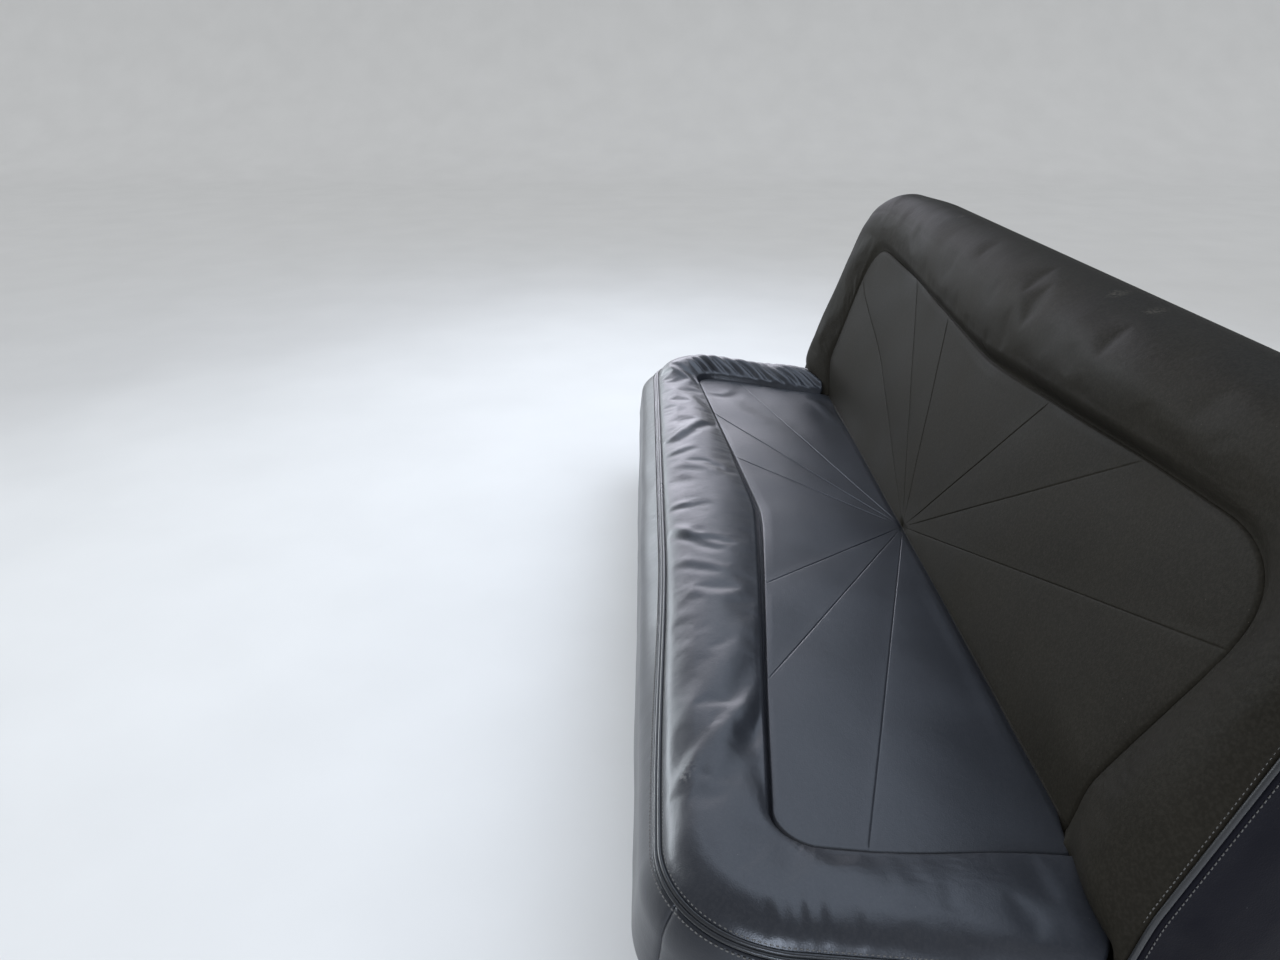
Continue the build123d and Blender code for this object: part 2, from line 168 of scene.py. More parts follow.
def on_back(x, s, n):
    """Point from its place along the bench, up the back and out of the back's inset."""
    return on_plane(CREASE, BACK_UP, BACK_OUT, x, s, n)


def seat_end(n, proud):
    """How far back a seat piece reaches at height n, where the back stands proud by so much."""
    return FAN_REACH + (FAN_ANGLE_SIN * (n + INSET_DROP) - proud) / FAN_ANGLE_COS


def back_foot(n, drop):
    """Where a back piece starts at depth n, on the plane that lies drop below the seat's top."""
    return (-(drop - INSET_DROP) - FAN_ANGLE_SIN * n) / FAN_ANGLE_COS


# Curves, noise and paths
def smooth(low, high, value):
    """Smooth step from 0 at low to 1 at high."""
    t = np.clip((value - low) / (high - low), 0, 1)
    return np.clip(t * t * (3 - 2 * t), 0, 1)


def arch(share):
    """Half a sine wave from 0 to 1, with its ends at nought."""
    return np.sin(np.pi * np.clip(share, 0, 1)).clip(0)


def bell(value, width):
    """Bell curve of height 1 about nought."""
    return np.exp(-((value / width) ** 2))


def between(start, end, share):
    """Value at a share of the way from start to end."""
    return start * (1 - share) + end * share


def unit(vectors):
    """Vectors drawn to length 1."""
    return vectors / np.maximum(np.linalg.norm(vectors, axis=-1, keepdims=True), 1e-9)


def noise(u, v, seed):
    """Smooth noise from -1 to 1 on a unit lattice, the same on each run."""
    size = 256
    table = np.random.default_rng(seed).uniform(-1, 1, (size, size))
    u, v = np.broadcast_arrays(u, v)
    iu, iv = np.floor(u).astype(int), np.floor(v).astype(int)
    fu, fv = u - iu, v - iv
    fu, fv = fu * fu * (3 - 2 * fu), fv * fv * (3 - 2 * fv)

    def row(b):
        return between(table[iu % size, (iv + b) % size], table[(iu + 1) % size, (iv + b) % size], fu)

    return between(row(0), row(1), fv)


def undulation(u, v, sizes):
    """Waves of a few sizes over each other, each with its height, its length along u and v, and a seed."""
    return sum(height * noise(u / length, v / width, seed) for height, length, width, seed in sizes)


def eased(count, power):
    """Shares from 0 to 1 that lie closer together towards 1."""
    return 1 - (1 - np.linspace(0, 1, count)) ** power


def line(start, end, count):
    """Evenly spaced points from start up to, and without, end."""
    return between(np.array(start), np.array(end), np.arange(count)[:, None] / count)


def arc(centre, radius, start, end, count):
    """Points of an arc in degrees from start up to, and without, end."""
    angle = np.radians(start + (end - start) * np.arange(count) / count)
    return np.array(centre) + radius * np.stack([np.cos(angle), np.sin(angle)], -1)


def soft_slope(start, fall, soft, count):
    """A sloped run from start to the middle of the bench, rounded off at the middle."""
    x = start[0] * (1 - np.arange(count + 1) / count)
    return np.stack([x, start[1] - fall * (np.hypot(start[0], soft) - np.hypot(x, soft))], -1)


def mirrored(*runs):
    """Runs from the near end to the middle as one path, carried on to the far end."""
    half = np.vstack(runs)
    return np.vstack([half, half[::-1][1:] * [-1, 1]])


def rounded_outline(half, foot, end, radius, side_steps, corner_steps, end_steps):
    """Two straight sides from the foot, two round corners and a straight end between them."""
    turn = math.copysign(90, end - foot)
    centre = (half - radius, end - math.copysign(radius, turn))
    return mirrored(
        line((half, foot), (half, centre[1]), side_steps),
        arc(centre, radius, 0, turn, corner_steps),
        line((centre[0], end), (0, end), end_steps),
        [(0, end)],
    )


def path_length(path):
    """Distance along a path to each of its points."""
    return np.r_[0, np.cumsum(np.linalg.norm(np.diff(path, axis=0), axis=1))]


def outward_normals(path):
    """Unit normals of a path round the cushion, on its outer side."""
    run = np.gradient(path, axis=0)
    return unit(np.stack([-run[:, 1], run[:, 0]], -1))


def smooth_line(points, count):
    """A smooth line through a few given points."""
    points = np.array(points, float)
    fine = np.linspace(0, len(points) - 1, count)
    tangents = np.gradient(points, axis=0)
    low = np.minimum(fine.astype(int), len(points) - 2)
    t = (fine - low)[:, None]
    a, b, ta, tb = points[low], points[low + 1], tangents[low], tangents[low + 1]
    ends = a * (1 + 2 * t) * (1 - t) ** 2 + b * t * t * (3 - 2 * t)
    return ends + ta * t * (1 - t) ** 2 + tb * t * t * (t - 1)


def folds(x, s, table):
    """Height of listed folds: a ridge along each line, and a dip on the line's left."""
    steps = 48
    total = np.zeros(x.size)
    flat = np.stack([x.ravel(), s.ravel()], -1)
    for points, width, height in table:
        path = smooth_line(points, steps)
        near = (flat > path.min(0) - 4 * width).all(1) & (flat < path.max(0) + 4 * width).all(1)
        offset = flat[near][:, None, :] - path[None]
        distance = np.hypot(offset[..., 0], offset[..., 1])
        nearest = distance.argmin(1)
        reach = distance[np.arange(len(nearest)), nearest]
        away = offset[np.arange(len(nearest)), nearest]
        run = np.gradient(path, axis=0)[nearest]
        left = np.sign(run[:, 0] * away[:, 1] - run[:, 1] * away[:, 0])
        taper = np.sin(np.pi * np.clip(nearest / (steps - 1), 0.02, 0.98)) ** 0.6
        dip = bell(reach * left - 1.6 * width, width)
        total[near] += height * taper * (bell(reach, width) - 0.6 * dip)
    return total.reshape(x.shape)


def surface_normals(points):
    """Unit normals of a grid of points."""
    return unit(np.cross(np.gradient(points, axis=0), np.gradient(points, axis=1)))


def displaced(points, height, outward):
    """A grid moved along its normals, on the side that outward points to."""
    normals = surface_normals(points)
    facing = (normals * outward).sum(-1)
    normals = normals if facing.mean() > 0 else -normals
    return points + normals * height[..., None]


# Meshes
def add_object(name, data):
    """A new object of some data, in the scene."""
    thing = bpy.data.objects.new(name, data)
    bpy.context.scene.collection.objects.link(thing)
    return thing


def mesh_object(name, vertices, faces, material):
    """A smooth mesh object in metres from points in millimetres."""
    assert np.isfinite(vertices).all(), f"{name} has points without a place"
    mesh = bpy.data.meshes.new(name)
    mesh.from_pydata((vertices * MM).tolist(), [], faces)
    mesh.validate()
    mesh.polygons.foreach_set("use_smooth", [True] * len(mesh.polygons))
    mesh.materials.append(material)
    return add_object(name, mesh)


def signed_volume(mesh):
    """Volume of a closed mesh, negative when its faces point inwards."""
    mesh.calc_loop_triangles()
    triangles = np.empty(len(mesh.loop_triangles) * 3, int)
    mesh.loop_triangles.foreach_get("vertices", triangles)
    a, b, c = mesh_points(mesh)[triangles.reshape(-1, 3).T]
    return (a * np.cross(b, c)).sum() / 6


def quads_between(left, right):
    """Faces between each column of point numbers on the left and its neighbour on the right."""
    return np.stack([left[:-1], left[1:], right[1:], right[:-1]], -1).reshape(-1, 4).tolist()


def sleeve_mesh(loops):
    """Points and faces of a closed solid from a row of closed loops, with a fan at each end."""
    stations, around, _ = loops.shape
    index = np.arange(stations * around).reshape(stations, around)
    turned = np.roll(index, -1, axis=1)
    vertices = np.vstack([loops.reshape(-1, 3), loops[0].mean(0), loops[-1].mean(0)])
    first, last = len(vertices) - 2, len(vertices) - 1
    caps = [[first, a, b] for a, b in zip(index[0], turned[0])]
    caps += [[last, b, a] for a, b in zip(index[-1], turned[-1])]
    return vertices, quads_between(index, turned) + caps


def sleeve(name, material, *parts):
    """One object of a sleeve, and of any further sleeves that belong to it."""
    vertices, faces, start = [], [], 0
    for loops in parts:
        points, corners = sleeve_mesh(loops)
        vertices.append(points)
        faces += [[corner + start for corner in face] for face in corners]
        start += len(points)
    thing = mesh_object(name, np.vstack(vertices), faces, material)
    if signed_volume(thing.data) < 0:
        thing.data.flip_normals()
    return thing


def dress(thing, slot, *nodes):
    """Put a piece on the bench in place of its CAD nodes; its slot is not used."""
    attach(thing, "root")
    if nodes:
        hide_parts(*nodes)


def padded(node, material, *parts, fill):
    """A padded leather piece in place of its CAD node."""
    thing = sleeve(f"{node}_leather", material, *parts)
    dress(thing, "leather", node)
    return thing


# Covers that settle as cloth over padding: how they resist, how hard the padding presses, how long
# it takes, how much too large each cover is, and how far it may move
COVER = {
    "quality": 4, "mass": 0.4, "tension_stiffness": 40, "compression_stiffness": 40,
    "shear_stiffness": 20, "bending_stiffness": 60, "use_pressure": True, "uniform_pressure_force": 4.0,
}
SETTLE_FRAMES = 16
SEAT_GROWTH, SEAT_CAP = 0.018, 6.0
BACK_GROWTH, BACK_CAP = 0.0022, 4.0


def settle(grid, outward, free, slack, growth, cap):
    """A cover's grid once it has creased as cloth: held where not free, too large where slack."""
    index = np.arange(free.size).reshape(free.shape)
    left, right = index[:, :-1], index[:, 1:]
    if (surface_normals(grid) @ outward).mean() < 0:
        left, right = right, left
    mesh = bpy.data.meshes.new("settling")
    mesh.from_pydata((grid.reshape(-1, 3) * MM).tolist(), [], quads_between(left, right))
    thing = add_object("settling", mesh)
    for name, values in (("held", 1 - free), ("tight", 1 - slack)):
        group = thing.vertex_groups.new(name=name)
        weights = np.round(values.ravel(), 2)
        for weight in np.unique(weights):
            group.add(np.flatnonzero(weights == weight).tolist(), float(weight), "REPLACE")
    cloth = thing.modifiers.new("settle", "CLOTH")
    cloth.settings.vertex_group_mass = "held"
    cloth.settings.vertex_group_shrink = "tight"
    cloth.settings.shrink_min, cloth.settings.shrink_max = -growth, 0.0
    for name, value in COVER.items():
        setattr(cloth.settings, name, value)
    cloth.settings.effector_weights.gravity = 0
    cloth.collision_settings.use_collision = False
    scene = bpy.context.scene
    for number in range(1, SETTLE_FRAMES + 1):
        scene.frame_set(number)
    settled = mesh_points(thing.evaluated_get(bpy.context.evaluated_depsgraph_get()).data)
    bpy.data.objects.remove(thing)
    bpy.data.meshes.remove(mesh)
    scene.frame_set(1)
    move = settled.reshape(grid.shape) / MM - grid
    length = np.maximum(np.linalg.norm(move, axis=-1, keepdims=True), 1e-6)
    return grid + move * cap * np.tanh(length / cap) / length


# Materials
def new_material(name):
    """A node material's tree, its shader and its object coordinates."""
    material = bpy.data.materials.new(name)
    material.use_nodes = True
    tree = material.node_tree
    place = tree.nodes.new("ShaderNodeTexCoord").outputs["Object"]
    return material, tree, tree.nodes["Principled BSDF"], place


def feed(tree, socket, value):
    """Give a socket a link from another socket, a number or a colour."""
    if isinstance(value, bpy.types.NodeSocket):
        tree.links.new(value, socket)
    else:
        socket.default_value = (*value, 1) if isinstance(value, tuple) else value


def feed_all(tree, node, values):
    """Feed a node's inputs, each by its name."""
    for name, value in values.items():
        feed(tree, node.inputs[name], value)


def texture(tree, place, kind, **settings):
    """Height of a procedural texture over some coordinates."""
    node = tree.nodes.new("ShaderNodeTex" + kind)
    for key, value in settings.items():
        if key in node.inputs:
            node.inputs[key].default_value = value
        else:
            setattr(node, key, value)
    tree.links.new(place, node.inputs["Vector"])
    return node.outputs["Distance" if kind == "Voronoi" else "Fac"]


def ramp(tree, source, *stops):
    """A colour ramp whose stops are a place and a grey or a colour."""
    node = tree.nodes.new("ShaderNodeValToRGB")
    elements = node.color_ramp.elements
    while len(elements) < len(stops):
        elements.new(0.5)
    for element, (position, colour) in zip(elements, stops):
        element.position = position
        shade = colour if isinstance(colour, tuple) else (colour,) * 3
        element.color = (*shade, 1)
    tree.links.new(source, node.inputs["Fac"])
    return node.outputs["Color"]


def mix_colour(tree, mode, factor, first, second):
    """Two colours mixed by a fixed or a linked factor."""
    node = tree.nodes.new("ShaderNodeMix")
    node.data_type = "RGBA"
    node.blend_type = mode
    factor_input, first_input, second_input = (node.inputs[number] for number in (0, 6, 7))
    feed(tree, factor_input, factor)
    feed(tree, first_input, first)
    feed(tree, second_input, second)
    return node.outputs[2]


def maths(tree, operation, first, second):
    """A maths node over two values or sockets."""
    node = tree.nodes.new("ShaderNodeMath")
    node.operation = operation
    feed(tree, node.inputs[0], first)
    feed(tree, node.inputs[1], second)
    return node.outputs[0]


def bump_chain(tree, shader, *layers):
    """Bump layers on top of each other: each has its source, strength and depth in metres."""
    previous = None
    for source, strength, depth in layers:
        bump = tree.nodes.new("ShaderNodeBump")
        feed_all(tree, bump, {"Strength": strength, "Distance": depth, "Height": source})
        if previous is not None:
            feed(tree, bump.inputs["Normal"], previous)
        previous = bump.outputs["Normal"]
    feed(tree, shader.inputs["Normal"], previous)


def leather(name, colour, dusty, roughness, coat, gloss_level):
    """Finished leather: pebble grain, fine creases, cloudy gloss, and wear from the mesh."""
    material, tree, shader, place = new_material(name)
    pebble = texture(tree, place, "Voronoi", Scale=620.0, feature="SMOOTH_F1")
    fine = texture(tree, place, "Noise", Scale=900.0, Detail=3.0)
    crease = texture(tree, place, "Noise", Scale=70.0, Detail=5.0, Distortion=0.6)
    cloud = texture(tree, place, "Noise", Scale=6.0, Detail=4.0)
    speckle = texture(tree, place, "Noise", Scale=260.0, Detail=5.0)
    dust = texture(tree, place, "Voronoi", Scale=55.0)
    wear = tree.nodes.new("ShaderNodeAttribute")
    wear.attribute_name = "wear"
    worn = maths(tree, "MULTIPLY", wear.outputs["Fac"], ramp(tree, speckle, (0.42, 0.0), (0.64, 1.0)))
    light = maths(tree, "MAXIMUM", worn, ramp(tree, dust, (0.015, 0.35), (0.035, 0.0)))
    haze = ramp(tree, cloud, (0.35, 0.0), (0.7, 1.0))
    tone = mix_colour(tree, "MIX", haze, colour, tuple(c * 1.35 for c in colour))
    gloss = ramp(tree, cloud, (0.3, roughness - 0.05), (0.72, roughness + 0.07))
    feed_all(tree, shader, {
        "Base Color": mix_colour(tree, "MIX", light, tone, dusty),
        "Roughness": mix_colour(tree, "MIX", worn, gloss, (0.75, 0.75, 0.75)),
        "Coat Weight": coat,
        "Coat Roughness": 0.32,
        "Specular IOR Level": gloss_level,
    })
    bump_chain(tree, shader, (crease, 0.3, 0.0008), (pebble, 0.3, 0.0004), (fine, 0.25, 0.0002))
    return material


def thread(name, colour):
    """Waxed sewing thread with a faint twist."""
    material, tree, shader, place = new_material(name)
    twist = texture(tree, place, "Wave", Scale=900.0, Distortion=2.0)
    shade = ramp(tree, twist, (0.0, tuple(c * 0.6 for c in colour)), (1.0, colour))
    feed_all(tree, shader, {"Base Color": shade, "Roughness": 0.5})
    bump_chain(tree, shader, (twist, 0.4, 0.0002))
    return material


def plywood(name, grain_scale):
    """Plain birch plywood with long grain and fine pores, drawn out along one axis."""
    material, tree, shader, place = new_material(name)
    stretch = tree.nodes.new("ShaderNodeMapping")
    stretch.inputs["Scale"].default_value = grain_scale
    tree.links.new(place, stretch.inputs["Vector"])
    along = stretch.outputs["Vector"]
    grain = texture(tree, along, "Noise", Scale=5.0, Detail=7.0, Distortion=1.2)
    pores = texture(tree, along, "Noise", Scale=60.0, Detail=2.0)
    tone = ramp(tree, grain, (0.3, (0.36, 0.23, 0.12)), (0.5, (0.55, 0.38, 0.22)), (0.75, (0.66, 0.49, 0.30)))
    dark = ramp(tree, pores, (0.36, 0.72), (0.5, 1.0))
    feed_all(tree, shader, {"Base Color": mix_colour(tree, "MULTIPLY", 1.0, tone, dark), "Roughness": 0.62})
    bump_chain(tree, shader, (grain, 0.2, 0.0008), (pores, 0.3, 0.0003))
    return material


def zinc(name):
    """Bright zinc plating with rolling marks and a dulled patchy film."""
    material, tree, shader, place = new_material(name)
    patch = texture(tree, place, "Noise", Scale=30.0, Detail=6.0)
    scratch = texture(tree, place, "Noise", Scale=400.0, Detail=2.0)
    tone = ramp(tree, patch, (0.35, (0.42, 0.42, 0.40)), (0.65, (0.62, 0.62, 0.60)))
    sheen = ramp(tree, patch, (0.3, 0.28), (0.7, 0.5))
    feed_all(tree, shader, {"Base Color": tone, "Roughness": sheen, "Metallic": 1.0})
    bump_chain(tree, shader, (scratch, 0.2, 0.0002))
    return material


def vinyl(name):
    """Matt black vinyl stretched over the base box."""
    material, tree, shader, place = new_material(name)
    pebble = texture(tree, place, "Voronoi", Scale=420.0)
    dust = texture(tree, place, "Noise", Scale=14.0, Detail=6.0)
    tone = ramp(tree, dust, (0.35, (0.018, 0.018, 0.019)), (0.75, (0.05, 0.048, 0.045)))
    feed_all(tree, shader, {"Base Color": tone, "Roughness": 0.55})
    bump_chain(tree, shader, (pebble, 0.4, 0.0005))
    return material


# The seat leather's base colour is tinted blue: painted cool light on the seat, over the leather's own
# near-black.
SEAT_LEATHER_COOL_LIT = leather("seat_leather_cool_lit", (0.018, 0.020, 0.025), (0.26, 0.25, 0.24), 0.35, 0.22, 0.5)
# The back leather's base colour is darker and warmer than the seat's: painted warm shade on the back, for the
# same leather as the seat.
BACK_LEATHER_WARM_SHADE = leather("back_leather_warm_shade", (0.015, 0.0135, 0.0105), (0.20, 0.18, 0.15), 0.52, 0.0, 0.04)
PANEL_LEATHER = leather("panel_leather", (0.006, 0.006, 0.009), (0.20, 0.20, 0.20), 0.42, 0.0, 0.07)
PIPING_LEATHER = leather("piping_leather", (0.018, 0.019, 0.021), (0.25, 0.25, 0.25), 0.30, 0.25, 0.5)
THREAD = thread("sewing_thread", (0.13, 0.127, 0.12))
PLYWOOD = plywood("birch_plywood", (1.0, 14.0, 14.0))
PLYWOOD_UPRIGHT = plywood("birch_plywood_upright", (14.0, 14.0, 1.0))
ZINC = zinc("zinc_plate")
VINYL = vinyl("base_vinyl")

# Outlines of the seat in its plane, each from the near end round the front to the far end
SIDE_STEPS, CORNER_STEPS, HALF_FRONT_STEPS = 62, 60, 200


def inset_line():
    """The inset's sewn edge: two sides, two small corners and a soft V between them."""
    fall = (INSET_FRONT_MIDDLE - INSET_FRONT_END) / INSET_HALF
    centre = (INSET_HALF - INSET_CORNER, INSET_FRONT_END + INSET_CORNER * (fall + math.hypot(1, fall)))
    turn = -90 - math.degrees(math.atan(fall))
    path = mirrored(
        line((INSET_HALF, FAN_REACH), (INSET_HALF, centre[1]), SIDE_STEPS),
        arc(centre, INSET_CORNER, 0, turn, CORNER_STEPS),
        soft_slope(arc(centre, INSET_CORNER, turn, 0, 1)[0], -fall, 40.0, HALF_FRONT_STEPS),
    )
    path[:, 0] += FAR_TAPER * smooth(180, 480, path[:, 1]) * (path[:, 0] < 0)
    path[:, 0] += NEAR_FLARE * smooth(600, 780, path[:, 0]) * (1 - smooth(230, 470, path[:, 1]))
    return path


# The sewn line between border and boxing on a new bench, and on the worn one
NEW_WELT = rounded_outline(
    WELT_HALF, FAN_REACH, BOXING_BULGE, SEAT_CORNER, SIDE_STEPS, CORNER_STEPS, HALF_FRONT_STEPS
)
CREEP = NEAR_CREEP * smooth(150, 850, NEW_WELT[:, 0]) * (1 - smooth(100, 420, NEW_WELT[:, 1]))
PULL = NEAR_PULL * smooth(800, 900, NEW_WELT[:, 0]) * smooth(20, 140, NEW_WELT[:, 1])
WELT_PATH = NEW_WELT - np.stack([PULL, CREEP], -1)
WELT_ALONG = path_length(WELT_PATH)[:, None]
WELT_OUT = outward_normals(WELT_PATH)
WELT_FACING = WELT_OUT[:, :1] * X_AXIS + WELT_OUT[:, 1:] * SEAT_UP
INSET_PATH = inset_line()


def run_to_back(path, n, proud):
    """Stretch a path's two side runs so that they end on the back's front face."""
    x = np.repeat(path[:, :1], len(n), 1)
    s = np.repeat(path[:, 1:], len(n), 1)
    end = seat_end(n, proud)
    near, far = slice(0, SIDE_STEPS), slice(-SIDE_STEPS, None)
    for rows, corner in ((near, SIDE_STEPS), (far, -1 - SIDE_STEPS)):
        start = path[corner, 1]
        share = (s[rows] - start) / (FAN_REACH - start)
        s[rows] = start + share * (end - start)
    return x, s


# Seat border: a padded roll whose loose cover lies in folds, each with its line, width and height
SEAT_FOLDS = [
    ([(-444, 137), (-410, 106), (-345, 66), (-314, 38)], 15, 3.0),
    ([(-284, 94), (-254, 63), (-243, 38)], 12, 1.4),
    ([(-832, 32), (-811, 68), (-759, 101), (-700, 126)], 12, 4.0),
    ([(-630, 66), (-501, 63), (-400, 54)], 16, 1.4),
    ([(15, 84), (14, 61), (20, 38)], 11, 1.3),
    ([(145, 137), (144, 88), (125, 65), (98, 40)], 12, 1.7),
    ([(188, 134), (174, 108), (156, 88), (117, 47)], 11, 1.4),
    ([(268, 138), (255, 108), (244, 83), (227, 50)], 13, 1.8),
    ([(962, 128), (945, 126), (925, 122)], 6, 0.9),
    ([(962, 161), (945, 160), (920, 158)], 6, 1.1),
    ([(964, 178), (945, 177), (918, 177)], 6, 1.1),
    ([(964, 216), (945, 215), (925, 214)], 8, 1.0),
    ([(390, 162), (485, 134), (556, 106), (620, 88)], 26, 5.5),
    ([(505, 156), (573, 142), (625, 124), (663, 104), (704, 85), (760, 60)], 17, 8.0),
    ([(662, 92), (702, 67), (745, 46), (768, 34)], 11, 2.2),
    ([(695, 108), (736, 113), (782, 120), (812, 128), (836, 143)], 17, 2.8),
    ([(705, 110), (762, 74)], 17, 1.8),
    ([(835, 156), (875, 183), (886, 250)], 18, 2.2),
    ([(-170, 60), (-160, 110), (-110, 165)], 16, 1.5),
    ([(330, 60), (350, 100), (340, 150)], 16, 1.6),
    ([(-620, 100), (-560, 120), (-500, 150)], 16, 1.4),
]
BORDER_WAVES = ((1.1, 95, 60, 21), (0.35, 31, 24, 22))
ROLL_POINTS, TOP_POINTS = 18, 38
ROLL_START = 28.0
ROLL_WIDTH, ROLL_RISE = 54.0, 51.0
TOP_FALL = 3.5
SEAM_LEVEL = -16.0


def border_section(length):
    """Section of a padded roll from the welt to the inset's seam, for each station's width."""
    start, turn = math.radians(ROLL_START), np.radians(np.linspace(ROLL_START, 90, ROLL_POINTS))
    roll_q = ROLL_WIDTH * (math.cos(start) - np.cos(turn))
    roll_n = 1.5 - WELT_DROP + ROLL_RISE * (np.sin(turn) - math.sin(start))
    t = eased(TOP_POINTS + 1, 1.6)[1:]
    q = roll_q[-1] + (length - roll_q[-1]) * t
    n = roll_n[-1] - TOP_FALL * t**2 + 3.0 * np.sin(np.pi * t) * (length / 185)
    steep = 9 + 7 * smooth(140, 185, length)
    fall = roll_n[-1] - TOP_FALL - SEAM_LEVEL
    n = n - fall * (1 - smooth(0, 1, (length - q) / steep)) ** 1.3
    stations = len(length)
    return np.hstack([np.tile(roll_q, (stations, 1)), q]), np.hstack([np.tile(roll_n, (stations, 1)), n])


def end_gathers(x, s, q, inner):
    """Gathers that cross the two ends of the roll, where the cover is eased round it."""
    slanted = (s - 0.62 * (x + WELT_HALF)) / 33 + 0.35 * noise(s / 75, x / 90, 11)
    pleat = 2 * np.abs(np.sin(np.pi * slanted)) ** 0.8 - 1
    strength = 0.62 + 0.38 * noise(s / 42, x / 80, 12)
    far = smooth(-730, -800, x) * smooth(0, 30, q) * smooth(3, 30, inner) * smooth(95, 170, s)
    short = noise(s / 24, q / 80, 13) + 0.4 * noise(s / 41, q / 110, 14)
    near = smooth(880, 940, x) * smooth(4, 16, q) * (1 - smooth(18, 70, q))
    return 7.0 * pleat * strength * far + 0.45 * short * near


def border_height(x, s, q, inner):
    """Height of the border's folds, gathers and waves, and of the puckers along its two seams."""
    loose = smooth(0, 10, q) * smooth(2, 20, inner)
    outer_pucker = noise(WELT_ALONG / 8, 1.5, 23) * np.exp(-q / 9) * smooth(0, 3, q)
    inner_pucker = noise(WELT_ALONG / 10, 7.5, 24) * np.exp(-inner / 15) * smooth(3, 9, inner)
    height = (folds(x, s, SEAT_FOLDS) + end_gathers(x, s, q, inner) + undulation(x, s, BORDER_WAVES)) * loose
    return height + 0.3 * outer_pucker + 0.45 * inner_pucker


def border_slack(x, s):
    """Share of its growth that the border's cover has: most at the far end, least past the middle."""
    slack = 0.065 + 0.93 * smooth(-720, -860, x) + 0.05 * noise(x / 160, s / 120, 25)
    slack = slack * (1 - 0.65 * smooth(-150, 50, x)) + 0.03 * smooth(800, 900, x)
    return np.clip(slack, 0, 1)


def seat_border():
    """The seat's padded roll: a folded cover that settles as cloth, closed by a plain underside."""
    gap = np.linalg.norm(INSET_PATH - WELT_PATH, axis=1)[:, None]
    q, n = border_section(gap)
    inner = gap - q
    share = q / gap
    outer_x, outer_s = run_to_back(WELT_PATH, n[0], BOLSTER_REST)
    inner_x, inner_s = run_to_back(INSET_PATH, n[0], BOLSTER_REST)
    x, s = between(outer_x, inner_x, share), between(outer_s, inner_s, share)
    s = s - 24 * (1 - share) ** 4 * smooth(400, BORDER_REACH, s)
    middle = 0.55 + 0.45 * bell(WELT_PATH[:, 1:] - 150, 110)
    n = n + FAR_ROLL_RISE * middle * smooth(-740, -900, WELT_PATH[:, :1]) * arch(share) ** 1.5
    top = displaced(on_seat(x, s, n), border_height(x, s, q, inner), SEAT_OUT)
    free = smooth(2, 14, q) * smooth(4, 22, inner) * smooth(6, 40, BORDER_REACH - s)
    top = settle(top, SEAT_OUT, free, border_slack(x, s), SEAT_GROWTH, SEAT_CAP)
    low_share, low_n = np.array([0.995, 0.5, 0.01]), np.array([-48.0, -52.0, -48.0])
    low_x = between(outer_x[:, :1], inner_x[:, :1], low_share)
    low_s = between(outer_s[:, :1], inner_s[:, :1], low_share)
    under = on_seat(low_x, low_s, low_n)
    return padded("seat_border", SEAT_LEATHER_COOL_LIT, np.concatenate([top, under], 1), fill=0.7)


# Fan insets: rays from the middle of the crease, closer together beside each seam
SEAM_SIDE_STEPS = np.array([0.9, 1.8, 3, 5, 8, 13])
EDGE_STEPS = np.array([0.0, 0.003, 0.006, 0.010, 0.016, 0.024])
RAY_POINTS = 84

# A fan's look: crown of its wedges, depth of its grooves, drop of its edge, and its seams' raised side
SEAT_FAN = (1.3, 0.6, -INSET_DROP - SEAM_LEVEL, -1)
BACK_FAN = (2.2, 0.9, 2.5, 1)


def seam_ends(shares, half, middle, end, side_seam):
    """Where a fan's seams meet its edge: at shares from the middle to each end, and on the sides."""
    ends = []
    for side in (-1, 1):
        ends += [(side * share * half, middle + share * (end - middle)) for share in shares]
        ends.append((side * side_seam[0], side_seam[1]))
    return ends


def seam_angles(ends, centre, angles):
    """Directions of the seams, in the same turn as the rays."""
    rays = np.array(ends) - centre
    turned = np.arctan2(rays[:, 1], rays[:, 0])
    return turned + 2 * np.pi * np.round((angles.mean() - turned) / (2 * np.pi))


def fan_rays(boundary, centre, ends):
    """Angles and lengths of rays that meet a boundary evenly, with more beside each seam."""
    offset = boundary - centre
    angles = np.unwrap(np.arctan2(offset[:, 1], offset[:, 0]))
    order = np.argsort(angles)
    angles, radii = angles[order], np.hypot(*offset[order].T)
    steps = np.r_[-SEAM_SIDE_STEPS[::-1], 0, SEAM_SIDE_STEPS]
    spans = np.hypot(*(np.array(ends) - centre).T)
    beside = seam_angles(ends, centre, angles)[:, None] + steps / spans[:, None]
    spread = np.unique(np.concatenate([angles, beside.ravel()]).round(7))
    spread = spread[(spread > angles[0] + 1e-3) & (spread < angles[-1] - 1e-3)]
    spread = spread[np.r_[True, np.diff(spread) > 3e-4]]
    spread = np.r_[angles[0], angles[0] + 4e-4, spread, angles[-1] - 4e-4, angles[-1]]
    return spread, np.interp(spread, angles, radii)


def fan_heights(angles, radius, seams, crown, depth, raised):
    """Height over a fan: crowned wedges, and narrow grooves whose raised side covers the seam's fold."""
    edges = np.sort([angles[0], *seams, angles[-1]])
    wedge = np.clip(np.searchsorted(edges, angles, side="right") - 1, 0, len(edges) - 2)
    low, high = edges[wedge], edges[wedge + 1]
    width = (high - low)[:, None] * radius
    height = crown * arch((angles - low) / (high - low))[:, None] * smooth(10, 190, width)
    for index, angle in enumerate(seams):
        distance = radius * np.abs(angles - angle)[:, None]
        groove = depth * (bell(distance, 1.0) + 0.25 * bell(distance, 5))
        groove -= 0.8 * np.exp(-distance / 7) * (0.5 + 0.5 * np.sign(raised * (angles - angle)))[:, None]
        ripple = noise(radius / 9, 3.5 * index, 40 + index)
        pucker = 0.2 * ripple * np.exp(-distance / 8) * smooth(1, 4, distance)
        height += (pucker - groove) * smooth(8, 60, radius)
    return height


